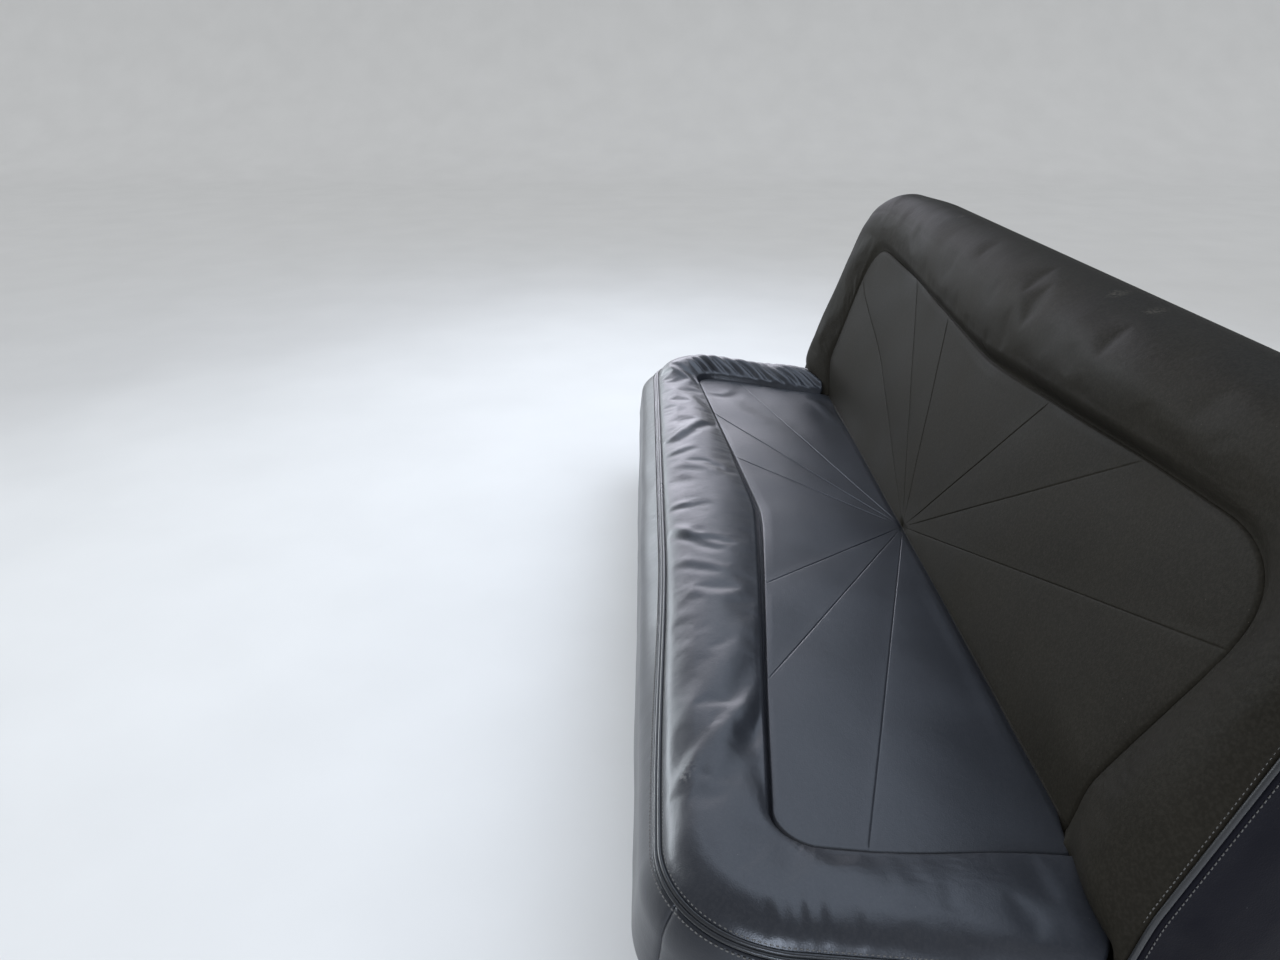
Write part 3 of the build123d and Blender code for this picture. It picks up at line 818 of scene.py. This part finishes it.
def fan_inset(node, place, fit, boundary, centre, ends, base, floor, look, extra, material, *more):
    """A sunken padded panel with a fan of seams, closed underneath."""
    crown, depth, edge_drop, raised = look
    angles, reach = fan_rays(boundary, centre, ends)
    t = np.linspace(0, 1, RAY_POINTS) ** 0.75
    t = np.unique(np.concatenate([t[t < 0.97], 1 - EDGE_STEPS]))
    radius = np.maximum(reach[:, None] * t, 0.5)
    x = centre[0] + radius * np.cos(angles)[:, None]
    s = centre[1] + radius * np.sin(angles)[:, None]
    margin = reach[:, None] - radius
    height = fan_heights(angles, radius, seam_angles(ends, centre, angles), crown, depth, raised)
    height = height * smooth(0, 24, margin) - edge_drop * (1 - smooth(0, 6, margin)) ** 1.3
    top = place(x, s, base + height + extra(x, s))
    low = np.full((len(angles), 1), floor)
    side = place(x[:, -1:], fit(s[:, -1:], floor), low)
    middle = place(centre[0] + 0 * low, fit(centre[1] + 0 * low, floor), low)
    return padded(node, material, np.concatenate([top, side, middle], 1), *more, fill=0.8)


SEAT_DENTS = [
    ([(-728, 432), (-659, 452), (-540, 467)], 18, 3.2),
    ([(-743, 229), (-692, 194), (-702, 163)], 14, 2.0),
    ([(-640, 200), (-560, 240), (-500, 300)], 30, 1.4),
    ([(200, 470), (420, 474), (700, 468)], 15, 1.6),
]
SEAT_INSET_WAVES = ((1.3, 210, 150, 31), (0.4, 70, 60, 32))
SEAT_INSET_FLOOR = -58.0


def seat_inset():
    """The seat's fan inset, whose rear edge keeps clear of the back's near bolster."""
    centre = np.array([0.0, FAN_REACH + 1.0])
    rear = FAN_REACH - 0.3
    corner_drop = 16
    pressed = [(CREASE_NEAR - 30, rear), (CREASE_NEAR, rear - 7), (800, rear - 13)]
    pressed.append((INSET_HALF, rear - corner_drop))
    inside = INSET_PATH[INSET_PATH[:, 1] < rear - corner_drop - 1]
    boundary = np.vstack([pressed, inside, [(FAR_TAPER - INSET_HALF, rear)]])
    ends = seam_ends(
        SEAT_SEAM_SHARES, INSET_HALF, INSET_FRONT_MIDDLE, INSET_FRONT_END, (INSET_HALF, SEAT_SEAM_SIDE)
    )

    def uneven(x, s):
        """Sat-in unevenness, and a turn down into the crease."""
        middle = smooth(0, 60, INSET_HALF - np.abs(x))
        sat_in = undulation(x, s, SEAT_INSET_WAVES) + folds(x, s, SEAT_DENTS)
        return sat_in * middle - 3.0 * (1 - smooth(0, 16, FAN_REACH - s)) ** 2

    def ahead_of_back(s, n):
        """The rear wall leans with the back."""
        return np.minimum(s, seat_end(n, 0))

    return fan_inset(
        "seat_inset", on_seat, ahead_of_back, boundary, centre, ends,
        -INSET_DROP, SEAT_INSET_FLOOR, SEAT_FAN, uneven, SEAT_LEATHER_COOL_LIT,
    )


# Boxing: the puffed band below the welt, in three sewn lengths
BOXING_POINTS = 40
BOXING_WAVES = ((1.1, 120, 70, 51), (0.35, 40, 30, 52))
BOXING_TOP = -WELT_DROP - 4
CORNER_SEAM_ROW = SIDE_STEPS + round(CORNER_STEPS * CORNER_SEAM_ANGLE / 90)


def boxing():
    """Three lengths of a band that bulges below the welt, drawn in at each corner seam."""
    t = np.linspace(0, 1, BOXING_POINTS)[None]
    n = BOXING_TOP - (BOXING_FOOT + BOXING_TOP) * t
    bulge = (BOXING_BULGE - 1 + FRONT_SLACK * smooth(300, 100, NEW_WELT[:, 1]) - CREEP)[:, None]
    hem = 1 - 0.5 * smooth(0.84, 1.0, t) ** 1.6
    from_end = np.clip(np.minimum(WELT_ALONG, WELT_ALONG[-1] - WELT_ALONG) / 24, 0, 1)
    rounded_end = 0.4 + 0.6 * np.sqrt(from_end * (2 - from_end))
    q = (7 + (bulge - 7) * np.sin(np.pi / 2 * np.minimum(t / 0.34, 1))) * hem * rounded_end
    base_x, base_s = run_to_back(WELT_PATH, n[0], BACK_EDGE + 1)
    height = undulation(WELT_ALONG, n, BOXING_WAVES)
    height = height + 0.5 * noise(WELT_ALONG / 8, 2.5, 53) * np.exp((n - BOXING_TOP) / 10)
    seams = [CORNER_SEAM_ROW, len(WELT_PATH) - 1 - CORNER_SEAM_ROW]
    for row in seams:
        away = np.abs(WELT_ALONG - WELT_ALONG[row])
        height = height - 2.4 * bell(away, 2.6) - 1.2 * bell(away, 12)
        height = height + 0.5 * noise(n / 9, 4.5, 54) * np.exp(-away / 10)
    points = on_seat(base_x + WELT_OUT[:, :1] * q, base_s + WELT_OUT[:, 1:] * q, n)
    face = surface_normals(points)
    face *= np.where((face * WELT_FACING[:, None]).sum(-1, keepdims=True) < 0, -1, 1)
    points = points + face * height[..., None]
    inner_n = np.array([-BOXING_FOOT, -90.0, BOXING_TOP - 2])
    inner_x, inner_s = run_to_back(WELT_PATH, inner_n, BACK_EDGE + 1)
    inner = on_seat(inner_x + WELT_OUT[:, :1], inner_s + WELT_OUT[:, 1:], inner_n)
    loops = np.concatenate([points, inner], 1)
    rows = {"near": (0, seams[0]), "front": seams, "far": (seams[1], len(loops) - 1)}
    for name, (start, end) in rows.items():
        padded(f"boxing_{name}", SEAT_LEATHER_COOL_LIT, loops[start : end + 1], fill=0.75)


# Cords and stitches
WELT_RIDGE = 2.6
STITCH_PITCH, STITCH_LENGTH = 5.8, 3.7
SEAT_STITCH_WIDTH, BACK_STITCH_WIDTH = 1.8, 1.4
STITCH_SIDES = 6
# Rings of a stitch: place in its length, thickness and height, each a share
STITCH_RINGS = ((-0.5, 0.35, -0.5), (-0.32, 0.9, 0), (0.32, 0.9, 0), (0.5, 0.35, -0.5))


def round_section(radius, count):
    """Section of a plain cord: across and out, in a full turn."""
    angle = np.linspace(0, 2 * np.pi, count, endpoint=False)
    return radius * np.stack([np.cos(angle), np.sin(angle)], -1)


def twin_section(radius):
    """Section of a cord sewn down its middle: two round ridges with a groove between them."""
    angle = np.radians(np.linspace(-35, 172, 10))
    ridge = radius * np.stack([np.cos(angle), np.sin(angle)], -1)
    right = ridge + [radius, 0]
    left = ridge[::-1] * [-1, 1] - [radius, 0]
    return np.vstack([right, left, [(0, -radius)]])


def cord(name, path, outward, section):
    """A cord along a path, with its section's second axis towards outward."""
    run = unit(np.gradient(path, axis=0))
    out = unit(outward - (outward * run).sum(1, keepdims=True) * run)
    across = np.cross(run, out)
    loops = path[:, None] + across[:, None] * section[None, :, :1] + out[:, None] * section[None, :, 1:]
    return sleeve(name, PIPING_LEATHER, loops)


def stitches(name, rows, width):
    """Rows of short stitches: each row is a path with the direction that it faces."""
    angle = 2 * np.pi * np.arange(STITCH_SIDES)[:, None] / STITCH_SIDES
    blocks = []
    for path, outward in rows:
        far = path_length(path)
        places = np.arange(STITCH_PITCH, far[-1] - STITCH_PITCH, STITCH_PITCH)
        centre, ahead, out = (
            np.stack([np.interp(at, far, values[:, axis]) for axis in range(3)], -1)
            for at, values in ((places, path), (places + 1, path), (places, outward))
        )
        out, run = unit(out), unit(ahead - centre)
        side = np.cross(run, out)
        ring = out[:, None] * np.cos(angle) + side[:, None] * np.sin(angle)
        levels = [
            (centre + run * along * STITCH_LENGTH + out * sink * width)[:, None] + ring * thick * width / 2
            for along, thick, sink in STITCH_RINGS
        ]
        blocks.append(np.stack(levels, 1).reshape(-1, 3))
    vertices = np.vstack(blocks)
    size = len(STITCH_RINGS) * STITCH_SIDES
    index = np.arange(size).reshape(-1, STITCH_SIDES)
    turned = np.roll(index, -1, axis=1)
    around = np.stack([index[:-1], turned[:-1], turned[1:], index[1:]], -1).reshape(-1, 4).tolist()
    shape = [*around, index[0, ::-1].tolist(), index[-1].tolist()]
    faces = [[corner + start for corner in face] for start in range(0, len(vertices), size) for face in shape]
    return mesh_object(name, vertices, faces, THREAD)


def sewn_cord(node, path, outward, section, rows, width):
    """A cord in place of its CAD node, and the rows of stitches beside it."""
    dress(cord(f"{node}_piping", path, outward, section), "piping", node)
    dress(stitches(f"{node}_stitches", rows, width), "piping")


def seat_welt():
    """The twin-ridged welt round the seat, with a row of stitches on each side of it."""

    def along(out, n, lift):
        x, s = run_to_back(WELT_PATH, np.array([n]), BACK_PROUD)
        x, s = x[:, 0] + WELT_OUT[:, 0] * out, s[:, 0] + WELT_OUT[:, 1] * out
        return on_seat(x, s, n) + slant * lift

    slant = WELT_FACING * 0.7 + SEAT_OUT * 0.71
    rows = [
        (along(-3.6, -WELT_DROP + 5.6, 1.0), WELT_FACING * 0.6 + SEAT_OUT * 0.8),
        (along(9.6, -WELT_DROP - 6.4, 1.0), WELT_FACING * 0.75 + SEAT_OUT * 0.66),
    ]
    path = along(1.6, -WELT_DROP, 1.4)
    sewn_cord("seat_welt", path, slant, twin_section(WELT_RIDGE), rows, SEAT_STITCH_WIDTH)


# Back border: a roll swept over the top and down both ends
BACK_SIDE_STEPS, BACK_CORNER_STEPS, BACK_HALF_STEPS = 130, 44, 160
BACK_START = back_foot(0.0, BACK_FOOT_DROP)
BACK_ROLL_POINTS, BACK_FACE_POINTS, BACK_REAR_POINTS = 20, 46, 14
BACK_ROLL_WAVES = ((1.5, 160, 90, 61), (0.5, 50, 40, 62))
BACK_FOLDS = [
    ([(900, 60), (885, 150), (900, 260)], 24, 1.6),
    ([(-905, 80), (-890, 170), (-900, 280)], 24, 1.6),
    ([(-830, 470), (-800, 440), (-740, 425)], 22, 1.6),
    ([(-700, 500), (-680, 455), (-620, 420)], 24, 1.5),
    ([(-560, 500), (-550, 450), (-500, 410)], 20, 1.2),
    ([(300, 455), (500, 462), (700, 455)], 26, 1.4),
]


def back_outer_path():
    """The back's outline in its plane, from the near end over the top to the far end."""
    steps = (BACK_SIDE_STEPS, BACK_CORNER_STEPS, BACK_HALF_STEPS)
    path = rounded_outline(BACK_HALF, BACK_START, BACK_TOP, BACK_CORNER, *steps)
    path[:, 1] -= FAR_SAG * smooth(-600, -930, path[:, 0]) * smooth(SIDE_TOP - 100, BACK_TOP, path[:, 1])
    return path


def back_inner_path():
    """The inset's sewn edge: sides that flare to rounded shoulders, and a soft V on top."""
    flare = np.array([BACK_FLARE, BACK_SHOULDER]) / math.hypot(BACK_FLARE, BACK_SHOULDER)
    fall = (BACK_SHOULDER - BACK_VERTEX) / SHOULDER_HALF
    top = np.array([-1.0, -fall]) / math.hypot(1, fall)
    shoulder = np.array([SHOULDER_HALF, BACK_SHOULDER])
    reach = BACK_INSET_CORNER / math.tan(math.acos(-(flare @ top)) / 2)
    start, end = shoulder - flare * reach, shoulder + top * reach
    t = np.arange(BACK_CORNER_STEPS)[:, None] / BACK_CORNER_STEPS
    bend = start * (1 - t) ** 2 + shoulder * 2 * t * (1 - t) + end * t**2
    foot = (INSET_HALF + BACK_FLARE * BACK_START / BACK_SHOULDER, BACK_START)
    sides = line(foot, start, BACK_SIDE_STEPS)
    path = mirrored(sides, bend, soft_slope(end, fall, 50.0, BACK_HALF_STEPS))
    path[:, 0] += FAR_TAPER * (1 - smooth(-20, 110, path[:, 1])) * (path[:, 0] < 0)
    path[:, 0] -= NEAR_TAPER * (1 - smooth(-40, 560, path[:, 1])) * smooth(300, 750, path[:, 0])
    return path


BACK_OUTER = back_outer_path()
BACK_INNER = back_inner_path()
CREASE_NEAR, CREASE_FAR = BACK_INNER[BACK_INNER[:, 1] > 0][[0, -1], 0]


def back_seam_level(x, s):
    """How far out the back's inset stands: it dishes, and swells towards both ends."""
    return INSET_SWELL * smooth(500, 830, np.abs(x)) * smooth(-20, 90, s)


def edge_level(s):
    """How far out the front edge of a back's end stands at a height."""
    return BACK_EDGE + 8 * smooth(-10, 80, s)


def back_border():
    """Sections change from an upright edge at the ends to a full roll over the top."""
    index = np.arange(len(BACK_OUTER))
    from_end = np.minimum(index, index[::-1])
    over = smooth(BACK_SIDE_STEPS * 0.92, BACK_SIDE_STEPS + BACK_CORNER_STEPS, from_end)[:, None]
    gap = np.linalg.norm(BACK_INNER - BACK_OUTER, axis=1)[:, None]
    front_radius = 6 * (1 - over) + BACK_ROLL * over
    proud = edge_level(BACK_OUTER[:, 1:])
    centre_n = proud - front_radius
    turn = np.linspace(0, np.pi / 2, BACK_ROLL_POINTS)[None]
    q_roll = front_radius * (1 - np.cos(turn))
    n_roll = centre_n + front_radius * np.sin(turn)
    t = eased(BACK_FACE_POINTS + 1, 1.5)[1:]
    q_face = front_radius + (gap - front_radius) * t
    seam_n = back_seam_level(BACK_INNER[:, :1], BACK_INNER[:, 1:]) - 1.5
    drop = 1.5 + (5 + 27 * smooth(860, 420, np.abs(BACK_INNER[:, :1]))) * over
    swell = BOLSTER_SWELL * (1 - over) * (0.65 + 0.35 * bell(BACK_OUTER[:, 1:] - 130, 130))
    n_face = proud + (seam_n + drop - proud) * t**2 + (swell + 2 * over) * np.sin(np.pi * t**0.7)
    steep = 10 + 24 * over
    n_face = n_face - drop * (1 - smooth(0, 1, (gap - q_face) / steep)) ** 1.5
    q, n = np.hstack([q_roll, q_face]), np.hstack([n_roll, n_face])
    share = q / gap

    # The rear edge and the inner side, then the foot, which lies flat where it rests on the seat
    rear_radius = 1.0 + (BACK_FOAM + centre_n - 1) * over
    rear_turn = np.linspace(0, np.pi / 2, BACK_REAR_POINTS + 1)[None, 1:]
    rear_q = rear_radius * (1 - np.cos(rear_turn))
    rear_n = centre_n - (BACK_FOAM + centre_n) * np.sin(rear_turn)
    inner_share, inner_n = np.array([[0.997, 0.997]]), np.array([[-30.0, 1 - BACK_FOAM]])
    all_n = np.hstack([n, inner_n + 0 * gap, rear_n[:, ::-1]])
    all_share = np.hstack([share, inner_share + 0 * gap, (rear_q / gap)[:, ::-1]])
    all_x, all_s = (between(BACK_OUTER[:, [axis]], BACK_INNER[:, [axis]], all_share) for axis in (0, 1))
    shown = q.shape[1]
    x, s = all_x[:, :shown], all_s[:, :shown].copy()
    lower = np.clip((SIDE_TOP - all_s) / (SIDE_TOP - BACK_START), 0, 1) ** 1.5
    all_s += (back_foot(all_n, BACK_FOOT_DROP) - BACK_START) * lower * (from_end[:, None] < BACK_SIDE_STEPS)
    shown_s = all_s[:, :shown]
    foot = 1 - np.sqrt(1 - (1 - np.clip((shown_s + 2) / 48, 0, 1)) ** 2)
    resting = np.minimum(n, BOLSTER_REST - 2)
    all_n[:, :shown] -= (n - resting) * foot * smooth(0, 30, q)

    # Folds, waves and puckers of the cover, and the sheet that is free to settle
    inner = gap - q
    height = folds(x, s, BACK_FOLDS) + undulation(x, s, BACK_ROLL_WAVES)
    height = height * smooth(0, 12, q) * smooth(3, 20, inner)
    pucker = noise(path_length(BACK_OUTER)[:, None] / 11, 1.5, 63)
    height = height + 0.8 * pucker * np.exp(-inner / 15) * smooth(3, 9, inner)
    points = on_back(all_x, all_s, all_n)
    front = displaced(points[:, :shown], height, BACK_OUT)
    free = smooth(2, 14, q) * smooth(4, 22, inner) * smooth(20, 80, shown_s)
    slack = np.clip(0.5 + 0.5 * noise(x / 220, s / 120, 64), 0, 1)
    points[:, :shown] = settle(front, BACK_OUT, free, slack, BACK_GROWTH, BACK_CAP)
    return padded("back_border", BACK_LEATHER_WARM_SHADE, points, fill=0.8)


BACK_DENTS = [
    ([(862, 318), (830, 304), (760, 272)], 13, -2.2),
    ([(-862, 290), (-820, 288), (-760, 266)], 13, 1.6),
]
BACK_INSET_WAVES = ((1.3, 230, 160, 71), (0.4, 80, 70, 72))
BACK_INSET_FLOOR = -60.0
FLAP_DEPTH = 80.0


def back_inset():
    """The back's fan inset, with a flap that runs on down behind the seat."""
    centre = np.array([0.0, -1.0])
    inside = BACK_INNER[BACK_INNER[:, 1] > 1]
    boundary = np.vstack([[(CREASE_NEAR, 0.3)], inside, [(CREASE_FAR, 0.3)]])
    side_half = INSET_HALF + BACK_FLARE * BACK_SEAM_SIDE / BACK_SHOULDER
    ends = seam_ends(
        BACK_SEAM_SHARES, SHOULDER_HALF, BACK_VERTEX, BACK_SHOULDER, (side_half, BACK_SEAM_SIDE)
    )

    def swelled(x, s):
        """The dished swell with some unevenness above the crease."""
        sat_in = undulation(x, s, BACK_INSET_WAVES) + folds(x, s, BACK_DENTS)
        calm = smooth(0, 60, INSET_HALF - np.abs(x)) * smooth(0, 60, s)
        return back_seam_level(x, s) + sat_in * calm

    flap_x = np.linspace(CREASE_FAR + 1, CREASE_NEAR - 1, 60)[:, None]
    flap_s = np.array([[0.3, -FLAP_DEPTH, -FLAP_DEPTH, 0.3]])
    flap_n = np.array([[-0.2, -0.2, BACK_INSET_FLOOR, BACK_INSET_FLOOR]])
    lift = back_seam_level(flap_x, 0) * np.array([[1.0, 0, 0, 0]])
    flap = on_back(flap_x, flap_s, flap_n + lift)
    return fan_inset(
        "back_inset", on_back, lambda s, n: s, boundary, centre, ends,
        0.0, BACK_INSET_FLOOR, BACK_FAN, swelled, BACK_LEATHER_WARM_SHADE, flap,
    )


# End panels of the back, with a stitched cord along their edge
PANEL_FOLDS = [
    ([(30, -60), (60, -20), (85, 20)], 14, 3.0),
    ([(150, -70), (180, -10), (200, 15)], 20, 1.5),
]
PANEL_ROWS, PANEL_COLUMNS = 130, 60
BACK_WELT_RADIUS = 3.0


def panel_top_reach(s, top):
    """How much a rounded upper corner draws the panel's edge in at a height."""
    over = np.clip(s - (top - SIDE_PANEL_ROUND), 0, SIDE_PANEL_ROUND)
    return SIDE_PANEL_ROUND - np.sqrt(SIDE_PANEL_ROUND**2 - over**2)


def side_panel(side, end_name):
    """A padded end panel, its edge cord and the stitches on both sides of the cord."""
    welt_n = BACK_EDGE + 5.5
    rear_n = -BACK_FOAM - 15.0
    top = SIDE_TOP - 8.4
    up = eased(PANEL_ROWS, 1.6)[:, None]
    across = (1 - np.cos(np.pi * np.linspace(0, 1, PANEL_COLUMNS)[None])) / 2
    foot = back_foot(rear_n + (welt_n - rear_n) * across, BOXING_FOOT)
    s = foot + (top - foot) * up
    pull = panel_top_reach(s, top)
    front_n = edge_level(s) - 5.7
    n = rear_n + pull + (front_n - rear_n - 2 * pull) * across
    edge = np.minimum(np.minimum(n - rear_n - pull, front_n - pull - n), np.minimum(s - foot, top - s))
    rounding = np.clip(edge / 5, 0, 1)
    crown = 1.0 + 6.0 * np.sqrt(rounding * (2 - rounding)) + 3.0 * smooth(4, 60, edge)
    uneven = 0.8 * noise(s / 70, n / 50, 81 + side) + folds(s, n, PANEL_FOLDS)
    crown = crown + smooth(5, 30, edge) * uneven
    x = side * (BACK_HALF + 0.2)
    loops = np.concatenate([on_back(x + side * crown, s, n), on_back(x, s, n)[:, ::-1]], 1)
    padded(f"back_side_{end_name}", PANEL_LEATHER, loops, fill=0.8)

    bend = SIDE_PANEL_ROUND + 4.4
    welt_top = SIDE_TOP - 4.0
    path = np.vstack([
        line((back_foot(welt_n, BOXING_FOOT), welt_n), (welt_top - bend, welt_n), 90),
        arc((welt_top - bend, welt_n - bend), bend, 90, 0, 24),
        line((welt_top, welt_n - bend), (welt_top, -BACK_FOAM + bend), 10),
    ])
    out = outward_normals(path)
    path[:, 1] += edge_level(path[:, 0]) - BACK_EDGE - 8

    def beside(grow, width):
        """The cord's path, moved outwards along the panel and set at a distance from the middle."""
        moved = path + out * grow
        return on_back(side * width, moved[:, 0], moved[:, 1])

    face = out[:, :1] * BACK_UP + out[:, 1:] * BACK_OUT
    slant = side * X_AXIS * 0.7 + face * 0.7
    section = round_section(BACK_WELT_RADIUS, 14)
    rows = [
        (beside(2.2, BACK_HALF - 4.0), side * X_AXIS * 0.2 + face),
        (beside(-7.5, BACK_HALF + 8.0), side * X_AXIS + 0.2 * face),
    ]
    route = beside(0.0, BACK_HALF + 3.5)
    sewn_cord(f"back_welt_{end_name}", route, slant, section, rows, BACK_STITCH_WIDTH)


# Worn and dusty places: along the bench, across the cushion and out of it, then radius and strength
SEAT_WEAR = (((758, 41, 0), 9, 0.4), ((740, 46, 0), 18, 0.12), ((-700, 470, -8), 60, 0.1))
BACK_WEAR = (
    ((-427, 545, 10), 12, 0.4), ((-259, 552, 5), 12, 0.35),
    ((290, 544, 10), 22, 0.2), ((396, 540, 5), 18, 0.2),
)
SEAT_DUST, BACK_DUST = 0.02, 0.03


def paint_wear(thing, place, spots, dust):
    """Worn and scuffed places on a dusty piece, as a value at each of its points."""
    points = mesh_points(thing.data) / MM
    value = np.full(len(points), dust)
    for centre, radius, strength in spots:
        distance = np.linalg.norm(points - place(*centre), axis=1)
        value = np.maximum(value, strength * (1 - smooth(radius * 0.4, radius, distance)))
    wear = thing.data.attributes.new("wear", "FLOAT", "POINT")
    wear.data.foreach_set("value", value.astype(np.float32))


# The bench's pieces
for cushion in (seat_border(), seat_inset()):
    paint_wear(cushion, on_seat, SEAT_WEAR, SEAT_DUST)
boxing()
seat_welt()
for cushion in (back_border(), back_inset()):
    paint_wear(cushion, on_back, BACK_WEAR, BACK_DUST)
side_panel(1, "near")
side_panel(-1, "far")

# CAD nodes that stay: their materials
NODE_FINISH = {"plywood": PLYWOOD, "zinc_steel": ZINC, "base_trim": VINYL}
for subpart in frame["record"]["subparts"]:
    finish = NODE_FINISH.get(subpart["material_slot"])
    if subpart["node"].startswith("back_gusset"):
        finish = PLYWOOD_UPRIGHT
    if finish:
        materials = frame["nodes"][subpart["node"]].data.materials
        materials.clear()
        materials.append(finish)


# Floor, light and camera
def floor_material():
    """A pale matt floor with a faint cloud in its tone."""
    material, tree, shader, place = new_material("pale_floor")
    cloud = texture(tree, place, "Noise", Scale=3.0, Detail=4.0)
    tone = ramp(tree, cloud, (0.3, (0.64, 0.64, 0.63)), (0.7, (0.67, 0.67, 0.66)))
    feed_all(tree, shader, {"Base Color": tone, "Roughness": 0.8})
    return material


def floor_and_backdrop():
    """A pale sheet that lies flat and turns up far behind the bench."""
    reach, turn, half_width = 8.0, 3.0, 14.0
    bend = [(reach + turn * math.sin(a), turn - turn * math.cos(a)) for a in np.linspace(0, 1.4, 15)]
    profile = [(-reach, 0.0), *bend]
    vertices = [(-along, side, height) for along, height in profile for side in (-half_width, half_width)]
    faces = [(2 * k, 2 * k + 1, 2 * k + 3, 2 * k + 2) for k in range(len(profile) - 1)]
    mesh_object("floor", np.array(vertices) / MM, faces, floor_material())


# Lights: place, aim, width, height, power, colour and spread in degrees
LIGHTS = {
    "window_side": ((-2.4, -2.9, 1.35), (0.2, -0.3, 0.35), 4.6, 1.3, 20, (0.86, 0.93, 1.0), 60),
    "window_far": ((-5.6, -0.6, 1.9), (-0.3, -0.1, 0.35), 3.2, 1.6, 6.5, (0.88, 0.88, 1.0), 50),
    "ceiling": ((-1.15, 0.7, 2.7), (-0.65, -0.1, 0.35), 4.5, 2.2, 29, (0.68, 0.80, 1.0), 130),
    "opening_near": ((4.4, -0.3, 1.45), (0.9, -0.1, 0.35), 2.6, 0.9, 6.0, (0.72, 0.82, 1.0), 40),
    "window_rear": ((0.4, 2.6, 2.0), (0.0, 0.1, 0.5), 3.4, 0.8, 7, (1.0, 0.98, 0.95), 130),
}


def lights():
    """Soft rectangular lights round the bench."""
    for name, (place, aim, width, height, power, colour, spread) in LIGHTS.items():
        light = bpy.data.lights.new(name, "AREA")
        light.shape = "RECTANGLE"
        light.size, light.size_y = width, height
        light.spread = math.radians(spread)
        light.energy = power
        light.color = colour
        lamp = add_object(name, light)
        lamp.location = place
        lamp.rotation_euler = (Vector(aim) - Vector(place)).to_track_quat("-Z", "Y").to_euler()


def world():
    """Pale to the camera and as fill light, but dim where the leather mirrors it."""
    fill, mirrored_dimming = 0.85, 0.70
    studio = bpy.data.worlds.new("studio")
    bpy.context.scene.world = studio
    studio.use_nodes = True
    tree = studio.node_tree
    path = tree.nodes.new("ShaderNodeLightPath")
    dimming = maths(tree, "MULTIPLY", path.outputs["Is Glossy Ray"], mirrored_dimming)
    strength = maths(tree, "SUBTRACT", fill, dimming)
    feed_all(tree, tree.nodes["Background"], {"Strength": strength, "Color": (0.95, 0.97, 1.0)})


# Camera from the photograph's vanishing point, in its 1280 by 960 frame
IMAGE_WIDTH, IMAGE_HEIGHT = 1280.0, 960.0
FOCAL_PIXELS = 946.0
VANISHING_X, VANISHING_Y = 645.3, 63.8
CAMERA_PLACE = (1.6151, -0.3804, 1.1034)
SENSOR_WIDTH = 36.0


def camera():
    """A camera that looks along the bench as the photograph does."""
    dx = (VANISHING_X - IMAGE_WIDTH / 2) / FOCAL_PIXELS
    dy = (VANISHING_Y - IMAGE_HEIGHT / 2) / FOCAL_PIXELS
    along = -Vector((dx, -dy, -1.0)).normalized()
    up = Vector((0.0, along.z, -along.y)).normalized()
    up = -up if up.y < 0 else up
    back = up.cross(along)
    data = bpy.data.cameras.new("camera")
    data.sensor_width = SENSOR_WIDTH
    data.lens = FOCAL_PIXELS / IMAGE_WIDTH * SENSOR_WIDTH
    data.clip_start = 0.01
    thing = add_object("camera", data)
    thing.matrix_world = Matrix.Translation(CAMERA_PLACE) @ Matrix((along, back, up)).to_4x4()
    bpy.context.scene.camera = thing


floor_and_backdrop()
lights()
world()
camera()
bpy.context.scene.view_settings.view_transform = "Standard"
